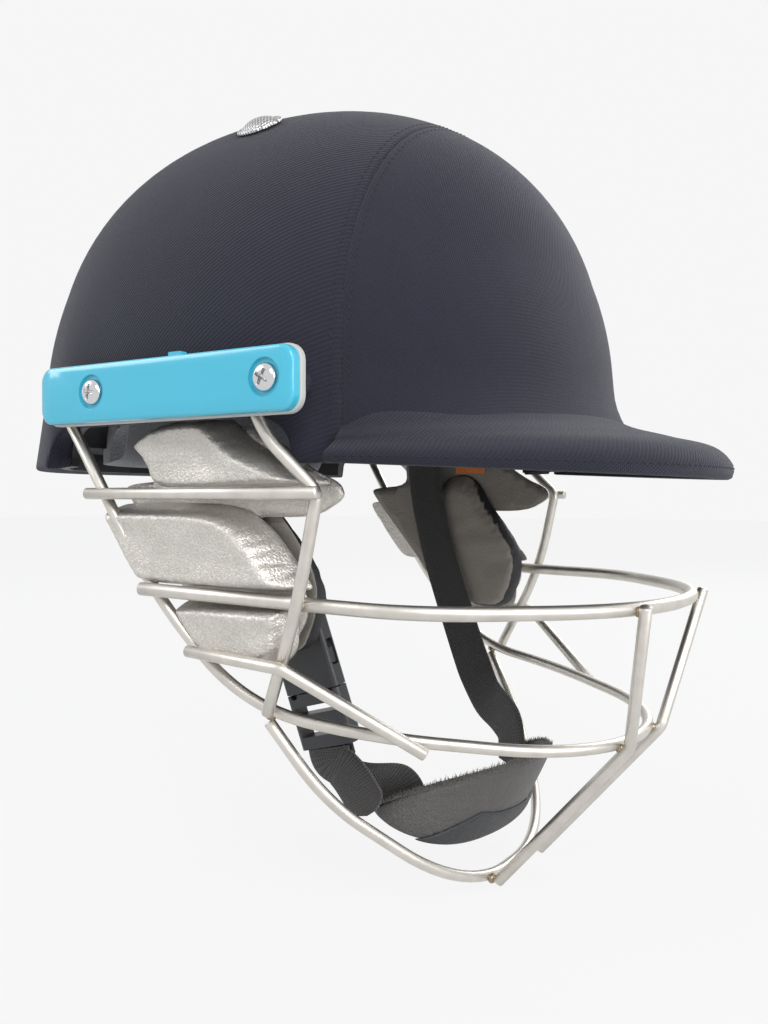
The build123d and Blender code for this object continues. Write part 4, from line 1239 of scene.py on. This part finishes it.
cheek_seed = 3
cheek_face_from = 0.62
cheek_face_to = 0.7
crease_size = 7 * mm
fold_size = 1.5 * mm
fold_width = 0.16
fold_bend_size = 5 * mm
fold_bend = (6 * mm, 6 * mm, 6 * mm)
silver_leather_light = "DEDAD4"
silver_leather_dark = "A29D96"
inner_leather_black = "25262A"
inner_leather_dark = "17181B"
greige_leather = "8A847C"
greige_leather_dark = "6C6760"


def leather(name, dark, light, roughness, metallic=0, grain=0.9, depth=0.14):
    """Grained leather: a pebbled surface of fine cells over broad soft creases."""
    made, tree, shader = new_material(name, light, roughness, metallic, Specular_IOR_Level=0.4)
    place = on_object(tree)
    cells = add_node(tree, "ShaderNodeTexVoronoi", {"Vector": place, "Scale": 1 / (grain * mm)}).outputs["Distance"]
    fine = speckle(tree, place, grain * 0.5 * mm)
    creases = speckle(tree, place, crease_size, 6.0)
    bent = add_node(tree, "ShaderNodeTexNoise", {
        "Vector": place, "Scale": 1 / fold_bend_size, "Detail": 2.0}).outputs[1]
    bent = add_node(tree, "ShaderNodeVectorMath", {0: bent, 1: fold_bend, 2: place},
                    operation="MULTIPLY_ADD").outputs[0]
    folds = add_node(tree, "ShaderNodeTexVoronoi", {"Vector": bent, "Scale": 1 / fold_size},
                     feature="DISTANCE_TO_EDGE").outputs["Distance"]
    folds = add_node(tree, "ShaderNodeMapRange", {"Value": folds, "From Max": fold_width}).outputs[0]
    tint(tree, shader, sum_of(tree, (cells, 0.25), (fine, 0.25), (creases, 0.3), (folds, 0.22)), dark, light)
    press(tree, shader, sum_of(tree, (cells, 0.8), (fine, 0.3), (folds, 0.32), (creases, 3.0)), depth * mm)
    return made


def pad_outline(box, shares, size=1.0):
    """Outline of a pad over its box, with its corners cut round."""
    low_y, high_y, low_z, high_z = box
    outline = np.array([(low_y + (high_y - low_y) * along, low_z + (high_z - low_z) * up) for along, up in shares])
    for _ in range(corner_rounds):
        after = np.roll(outline, -1, axis=0)
        outline = np.stack([outline * (1 - corner_cut) + after * corner_cut,
                            outline * corner_cut + after * (1 - corner_cut)], axis=1).reshape(-1, 2)
    middle = np.array(((low_y + high_y) / 2, (low_z + high_z) / 2))
    return middle + (outline - middle) * size


def outline_distance(places, outline):
    """Distance of each place to an outline, and how far round the nearest point of it lies."""
    after = np.roll(outline, -1, axis=0)
    run = after - outline
    length = np.linalg.norm(run, axis=1)
    begins = np.concatenate([[0], length.cumsum()[:-1]])
    share = np.clip(((places[:, None] - outline) * run).sum(2) / (length ** 2), 0, 1)
    gaps = np.linalg.norm(places[:, None] - (outline + run * share[..., None]), axis=2)
    nearest = gaps.argmin(axis=1)
    row = np.arange(len(places))
    return gaps[row, nearest], begins[nearest] + share[row, nearest] * length[nearest]


def filled_outline(outline, pitch, margin):
    """Points and faces that fill an outline evenly, its own points first."""
    low, high = outline.min(axis=0), outline.max(axis=0)
    rows = np.arange(low[1], high[1], pitch * grid_row_share)
    inner = np.array([(y + (0.5 * pitch if row % 2 else 0), z) for row, z in enumerate(rows)
                      for y in np.arange(low[0], high[0], pitch)])
    inner = inner[inside_outline(inner, outline)]
    inner = inner[outline_distance(inner, outline)[0] > margin]
    places = [Vector(place) for place in np.concatenate([outline, inner])]
    edges = [(at, (at + 1) % len(outline)) for at in range(len(outline))]
    points, _, faces = geometry.delaunay_2d_cdt(places, edges, [], 1, 1e-6)[:3]
    return np.array([tuple(point) for point in points]), [tuple(face) for face in faces]


def pad_shape(box, shares, back_x, depth, shoulder, lean=0, pucker=0.16, seed=0):
    """Stuffed pad on the wearer's right: pinched and puckered at its sewn edge, and crowned in the middle."""
    outline = pad_outline(box, shares, pad_spread)
    points, faces = filled_outline(outline, pad_grid_pitch, pad_margin)
    gap, around = outline_distance(points, outline)
    share = np.clip(gap / shoulder, 0, 1)
    hollow = 1 - pad_hollow * np.clip((gap - shoulder) / pad_hollow_run, 0, 1)
    height = (1 - (1 - share) ** pad_curve) ** 0.5 * hollow
    folds = np.sin(around * 2 * pi / pucker_pitch + pucker_drift * np.sin(around / pucker_drift_run))
    folds *= np.exp(-((gap - pucker_from_edge) / pucker_reach) ** 2)
    outwards = 1 if depth > 0 else -1
    front, back = [], []
    for (y, z), up, fold in zip(points, height, folds):
        swell = noise.noise(Vector((y / swell_length, z / swell_width, seed))) * swell_height * min(1, up * swell_rise)
        leaning = lean * (box[3] - z) / (box[3] - box[2])
        rearwards = face_slant * up * (box[1] - y) if depth > 0 else 0
        front.append((-(back_x - leaning + depth * up + (swell + fold * pucker) * outwards), y + rearwards,
                      z - face_slant * up * (z - box[2])))
        back.append((-(back_x - leaning * back_lean_share), y, z))
    count, rim = len(points), len(outline)
    faces = faces + [tuple(count + at for at in reversed(face)) for face in faces]
    faces += [(at, (at + 1) % rim, count + (at + 1) % rim, count + at) for at in range(rim)]
    return front + back, faces


def soften(pads):
    """Rounds the pinched edges of pads."""
    for pad in pads:
        rounder = pad.modifiers.new("soft edge", "SUBSURF")
        rounder.levels = rounder.render_levels = 1


def face_colour(material, colour):
    """Second colour on the broad face of a piece that looks along X, its edges left as they are."""
    tree = material.node_tree
    flat = add_node(tree, "ShaderNodeSeparateXYZ", {
        0: add_node(tree, "ShaderNodeTexCoord").outputs["Normal"]}).outputs["X"]
    flat = add_node(tree, "ShaderNodeMath", {0: flat}, operation="ABSOLUTE").outputs[0]
    flat = add_node(tree, "ShaderNodeMapRange", {
        "Value": flat, "From Min": cheek_face_from, "From Max": cheek_face_to}).outputs[0]
    shader = next(node for node in tree.nodes if node.type == "BSDF_PRINCIPLED")
    mixed = add_node(tree, "ShaderNodeMix", {
        "Factor": flat, 6: shader.inputs["Base Color"].links[0].from_socket, 7: linear(colour)}, data_type="RGBA")
    tree.links.new(mixed.outputs[2], shader.inputs["Base Color"])


silver_leather = leather("silver_foiled_leather", silver_leather_dark, silver_leather_light, roughness=0.4,
                         metallic=0.66)
inner_leather = leather("grained_leather_black", inner_leather_dark, inner_leather_black, roughness=0.55)
sheet_leather = leather("grained_leather_greige", greige_leather_dark, greige_leather, roughness=0.5, metallic=0.15)
for name, box, shares, depth, shoulder in (
        ("upper_side_pad", upper_pad_box, upper_pad_shares, side_pad_depth, side_pad_shoulder),
        ("middle_side_pad", middle_pad_box, middle_pad_shares, side_pad_depth, side_pad_shoulder),
        ("lower_side_pad", lower_pad_box, lower_pad_shares, lower_pad_depth, lower_pad_shoulder)):
    soften(make_pair("silver_" + name, pad_shape(box, shares, pad_back_x, depth, shoulder, seed=depth + shoulder),
                     silver_leather, name, sharp=180))
face_colour(inner_leather, greige_leather)
soften(make_pair("two_tone_cheek_cushion", pad_shape(
    cheek_pad_box, cheek_pad_shares, cheek_back_x, cheek_depth, cheek_shoulder, cheek_lean, cheek_pucker, cheek_seed),
    inner_leather, "cheek_pad", sharp=180))

sheet_points, sheet_faces = filled_outline(pad_outline(sheet_box, sheet_shares), sheet_grid_pitch, sheet_margin)
for side, sign in (("right", -1), ("left", 1)):
    backing = make_piece(f"pad_backing_sheet_{side}", [
        (sign * (sheet_face_x + sheet_wave * noise.noise(Vector((y / sheet_wave_size, z / sheet_wave_size, 0)))), y, z)
        for y, z in sheet_points], [face if sign < 0 else face[::-1] for face in sheet_faces],
        silver_leather, sharp=180)
    thicken(backing, sheet_thickness)
    backing.data.materials.append(sheet_leather)
    backing.modifiers["cloth thickness"].material_offset = 1
    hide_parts(f"pad_sheet_{side}")


# ---------------------------------------------------------------- Strap posts and straps
# Polyester webbing, 18 mm wide and 1.5 mm thick, turns on shouldered steel posts in the shell and
# runs down inside the side pads; the right one is cut and joined again by the buckle.
strap_pivot_x = 78.0
pivot_y = -8.0
pivot_z = 24.5
strap_above_pivot = 8.0
strap_width = 18.0
strap_thickness = 1.5
edge_turns = np.linspace(-pi / 2, pi / 2, 5)
face_shares = (-0.3, 0, 0.3)
narrowest_end = 0.25
corner_angle = 35
corner_segments = 3
tail_lift = 2.7
buckle_reach = 52.8
under_buckle = 4.6
into_buckle = 1.4
above_buckle = 5.0
rib_pitch = 0.9 * mm
row_pitch = 1.1 * mm
webbing_fibre = 0.5 * mm
webbing_depth = 0.25 * mm
webbing_black = "232427"
webbing_dark = "1F1E1E"
webbing_light = "403D3C"


def dressed_copy(name, node, material, body, bevel):
    """A merged copy of a CAD piece with its corners rounded, in place of that piece."""
    made = finish_mesh(name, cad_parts[node].data.copy(), material, body, corner_angle)
    if made.data.uv_layers:
        made.data.uv_layers.remove(made.data.uv_layers[0])
    corners = made.modifiers.new("moulded corners", "BEVEL")
    corners.width = bevel * mm
    corners.segments = corner_segments
    corners.limit_method = "ANGLE"
    corners.angle_limit = radians(corner_angle)
    corners.harden_normals = True
    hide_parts(node)


def webbing_cloth(name):
    """Plain woven polyester webbing: close ribs across it and a finer row along it."""
    made, tree, shader = new_material(name, webbing_black, roughness=0.8, Sheen_Weight=0.3, Specular_IOR_Level=0.3)
    place = add_node(tree, "ShaderNodeTexCoord").outputs["UV"]
    weave = sum_of(tree, (ribs(tree, place, (1, 0, 0), rib_pitch), 0.6),
                   (ribs(tree, place, (0, 1, 0), row_pitch), 0.3), (speckle(tree, place, webbing_fibre), 0.3))
    tint(tree, shader, weave, webbing_dark, webbing_light)
    press(tree, shader, weave, webbing_depth)
    return made


def ribbon(name, places, across, count=90, round_end=0):
    """Flat woven tape along a smooth path, turned as the directions across it say."""
    path = smooth_path(places, count)
    at = np.linspace(0, 1, len(places))
    across = np.array(across, float)
    wide = np.stack([np.interp(np.linspace(0, 1, count), at, across[:, axis]) for axis in range(3)], 1)
    along = np.gradient(path, axis=0)
    along /= np.linalg.norm(along, axis=1)[:, None]
    half, edge = strap_width / 2, strap_thickness / 2
    section = [(-half + edge * (1 - cos(turn)), edge * sin(turn)) for turn in edge_turns]
    section += [(share * strap_width, edge) for share in face_shares]
    section += [(half - edge * (1 - cos(turn)), edge * sin(turn)) for turn in edge_turns[::-1]]
    section += [(share * strap_width, -edge) for share in reversed(face_shares)]
    length = np.concatenate([[0], np.linalg.norm(np.diff(path, axis=0), axis=1).cumsum()])
    points, uvs = [], []
    for centre, way, side, run in zip(path, along, wide, length):
        side = side - way * (side @ way)
        side /= np.linalg.norm(side)
        face = np.cross(way, side)
        from_end = length[-1] - run
        narrow = 1.0
        if round_end and from_end < round_end:
            narrow = max(narrowest_end, (1 - (1 - from_end / round_end) ** 2) ** 0.5)
        points += [centre + side * out * narrow + face * up for out, up in section]
        uvs += [(run * mm, (out * narrow + (up > 0) * strap_width) * mm) for out, up in section]
    return make_piece(name, points, capped_faces(count, len(section)), webbing, "chin_strap", uvs=uvs)


webbing = webbing_cloth("woven_polyester_webbing")
dressed_copy("strap_post_pair", "strap_posts", chrome, "helmet", bevel=0.25)

buckle_top = np.array((-0.885 * strap_pivot_x, -37.5, -50.0))
buckle_foot = np.array((-0.806 * strap_pivot_x, -53.0, -104.5))
buckle_way = (buckle_foot - buckle_top) / np.linalg.norm(buckle_foot - buckle_top)
buckle_side = np.array((0, -1, 0)) + buckle_way * buckle_way[1]
buckle_side /= np.linalg.norm(buckle_side)
ladder = buckle_top + buckle_way * buckle_reach
tail_start = ladder + np.cross(buckle_way, buckle_side) * tail_lift
forwards = (0, -1, 0)
# Where both straps meet the cup: the places before its end and at it, and the way across the tape.
far_before, far_end, far_turned = (47.9, -70.2, -117.4), (45.4, -71.5, -127.0), (-0.43, -0.87, 0.236)
near_before, near_end, near_turned = [(-x, y, z) for x, y, z in (far_before, far_end, far_turned)]
straps = (
    (ribbon("far_chin_strap", [
        (strap_pivot_x, pivot_y, pivot_z + strap_above_pivot), (strap_pivot_x, pivot_y, pivot_z - strap_above_pivot),
        (77, -9, 0), (74, -17, -32), (70, -29, -62), (63, -50, -104), far_before, far_end],
        [forwards] * 6 + [far_turned] * 2), "far_strap"),
    (ribbon("near_chin_strap", [
        (-strap_pivot_x, pivot_y, pivot_z + strap_above_pivot), (-strap_pivot_x, pivot_y, pivot_z - strap_above_pivot),
        (-77, -9.5, 4), (-73.6, -20, -25), buckle_top - buckle_way * above_buckle,
        buckle_top + buckle_way * into_buckle], [forwards] * 4 + [buckle_side] * 2), "near_strap"),
    (ribbon("near_lower_webbing", [ladder, ladder + buckle_way * under_buckle, near_before, near_end],
            [buckle_side] * 2 + [near_turned] * 2, count=60), "near_webbing"),
    (ribbon("webbing_tail", [
        tail_start, tail_start + buckle_way * under_buckle, (-0.83 * strap_pivot_x, -56.5, -107.5),
        (-0.79 * strap_pivot_x, -67.5, -122.5)], [buckle_side] * 4, count=70, round_end=6), "strap_tail"))
for made, node in straps:
    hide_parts(node)


# ---------------------------------------------------------------- Side release buckle
# Moulded acetal, black: a socket with two side windows, and a plug whose two springy prongs
# catch in them and whose ladder bars hold the lower webbing.
acetal_black = "2B2C2F"
# Moulded acetal: a slick black with a soft highlight.
acetal = grained("moulded_acetal_black", acetal_black, roughness=0.38, grain=0.7 * mm, depth=0.03 * mm)
for name, node, body, bevel in (
        ("buckle_socket_moulding", "buckle_socket", "chin_strap", 0.55),
        ("buckle_plug_moulding", "buckle_plug", "chin_strap", 0.5),
        ("buckle_front_prong", "buckle_prong_front", "front_prong", 0.3),
        ("buckle_rear_prong", "buckle_prong_rear", "rear_prong", 0.3)):
    dressed_copy(name, node, acetal, body, bevel)


# ---------------------------------------------------------------- Chin cup
# One band of warm grey leather, shaped to the chin and sewn to the webbing at both ends; its top
# edge is raw suede, and a darker panel is sewn along its lower half.
cup_half_width = 53.0
cup_side_y = -67.0
cup_bow = 26.4
cup_z = -127.2
cup_roll = 2.4
cup_end_turn = 100.0
cup_end_width = 7.0
cup_swell = 28.5
cup_front_lean = 30.0
cup_thickness = 3.0
cup_crown = 0.5
panel_face_gap = 0.5
panel_thickness = 1.0
panel_end_turn = 66.7
panel_low_share = 0.02
# Turns from the front and the shares of the cup's width that the panel reaches there.
panel_edge = ((-66.7, 0.06), (-44.0, 0.3), (-27.0, 0.45), (-12.0, 0.36), (15.0, 0.27), (45.0, 0.2), (66.7, 0.12))
full_edge = ((0, 1), (90, 1))
end_curve = 14
edge_curve = 8
edge_share = 0.35
cup_leather_light = "5F5D5C"
cup_leather_dark = "434140"
panel_leather_light = "393B3E"
panel_leather_dark = "26282B"
suede_grey = "7A7672"
suede_dark = "4A4744"
suede_light = "75716C"
suede_nap = 0.6 * mm
fringe_pitch = 0.45
fringe_length = 2.5
fringe_radius = 0.17
fringe_root = 0.1
fringe_lean = 0.75
fringe_end_turn = 4
fringe_least = (0.7, 0.7, 0.35)
fringe_most = (1.2, 1.2, 1.0)
fringe_depths = (-1.3, -0.7, -0.1, 0.5, 1.1)


def cup_frame(turn):
    """Middle of the cup's band at a turn from the front, its width direction, its outward direction and its width."""
    side, front = sin(radians(turn)), cos(radians(turn))
    place = Vector((cup_half_width * side, cup_side_y - cup_bow * front, cup_z - cup_roll * side))
    out = Vector((side * cup_bow, -front * cup_half_width, 0)).normalized()
    lean = radians(cup_front_lean * front)
    up = Vector((0, 0, 1)) * cos(lean) + out * sin(lean)
    return place, up, out * cos(lean) - Vector((0, 0, 1)) * sin(lean), cup_end_width + cup_swell * front


def cup_band(end_turn, low_share, high_shares, inner, outer, steps, rows, crown=0.0):
    """Both faces of part of the cup's wall, from one share of its width up to another that changes along it."""
    faces = []
    for depth, bulge in ((outer, crown), (inner, 0)):
        grid = []
        for turn in np.linspace(-end_turn, end_turn, steps):
            place, up, outward, width = cup_frame(turn)
            ease = 1 - (abs(turn) / end_turn) ** end_curve
            narrow = edge_share + (1 - edge_share) * ease
            high_share = np.interp(turn, *zip(*high_shares))
            middle = (low_share + high_share) / 2
            row = []
            for share in np.linspace(low_share, high_share, rows):
                from_middle = 2 * (share - low_share) / (high_share - low_share) - 1
                rounded = (1 - abs(from_middle) ** edge_curve) ** 0.5 * ease ** 0.5
                reach = inner + (depth - inner) * (edge_share + (1 - edge_share) * rounded)
                reach += bulge * rounded * (1 - from_middle ** 2)
                row.append(tuple(place + up * (width * (middle - 0.5 + (share - middle) * narrow)) + outward * reach))
            grid.append(row)
        faces.append(np.array(grid))
    return walled(*faces)


cup_leather = leather("soft_leather_warm_grey", cup_leather_dark, cup_leather_light, roughness=0.5, grain=1.0,
                      depth=0.28)
dark_leather = leather("soft_leather_charcoal", panel_leather_dark, panel_leather_light, roughness=0.5, grain=1.0,
                       depth=0.2)
cup = make_piece("chin_cup_band", *cup_band(cup_end_turn, 0, full_edge, -cup_thickness / 2, cup_thickness / 2,
                                            steps=121, rows=25, crown=cup_crown),
                 cup_leather, "chin_strap", sharp=180)
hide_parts("chin_cup")
panel_face = cup_thickness / 2 + panel_face_gap
panel = make_piece("chin_cup_panel", *cup_band(panel_end_turn, panel_low_share, panel_edge, panel_face,
                                               panel_face + panel_thickness, steps=101, rows=13),
                   dark_leather, "chin_strap", sharp=180)
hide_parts("cup_under_panel")

# Raw suede: a dusty, mottled grey without any shine. Its nap is drawn coarse enough to show.
suede, suede_tree, suede_shader = new_material("raw_suede_edge", suede_grey, roughness=0.95, Sheen_Weight=0.4)
tint(suede_tree, suede_shader, speckle(suede_tree, on_object(suede_tree), suede_nap), suede_dark, suede_light)
fringe_tool = line_tool("suede fibres", "GeometryNodeMeshCone", {
    "Vertices": 4, "Radius Top": 0.0, "Radius Bottom": 1.0, "Depth": 1.0}, fringe_lean, fringe_least, fringe_most)
fringe_lines = []
for depth in fringe_depths:
    line = []
    for turn in np.linspace(fringe_end_turn - cup_end_turn, cup_end_turn - fringe_end_turn, 160):
        place, up, outward, width = cup_frame(turn)
        line.append(place + up * (width / 2 - fringe_root) + outward * depth)
    fringe_lines.append(line)
fringe = lay_along("cup_suede_fringe", fringe_tool, fringe_lines, fringe_pitch,
                   (fringe_radius, fringe_radius, fringe_length), suede, "chin_strap")


# ---------------------------------------------------------------- Size tab
# A folded tab of orange woven tape, sewn inside by the far temple.
tab_orange = "D9742B"
tab_dark = "B85B1C"
tab_light = "E5873E"
tab_pitch = 0.9 * mm
tab_depth = 0.12 * mm
# Woven polyester tape: bright orange in fine, slightly slanting ribs.
tab_cloth, tab_tree, tab_shader = new_material("woven_tape_orange", tab_orange, roughness=0.85, Sheen_Weight=0.3)
tab_weave = ribs(tab_tree, on_object(tab_tree), (0, 1, 0.2), tab_pitch)
tint(tab_tree, tab_shader, tab_weave, tab_dark, tab_light)
press(tab_tree, tab_shader, tab_weave, tab_depth)
dressed_copy("orange_size_tab", "size_tab", tab_cloth, "helmet", bevel=0.2)
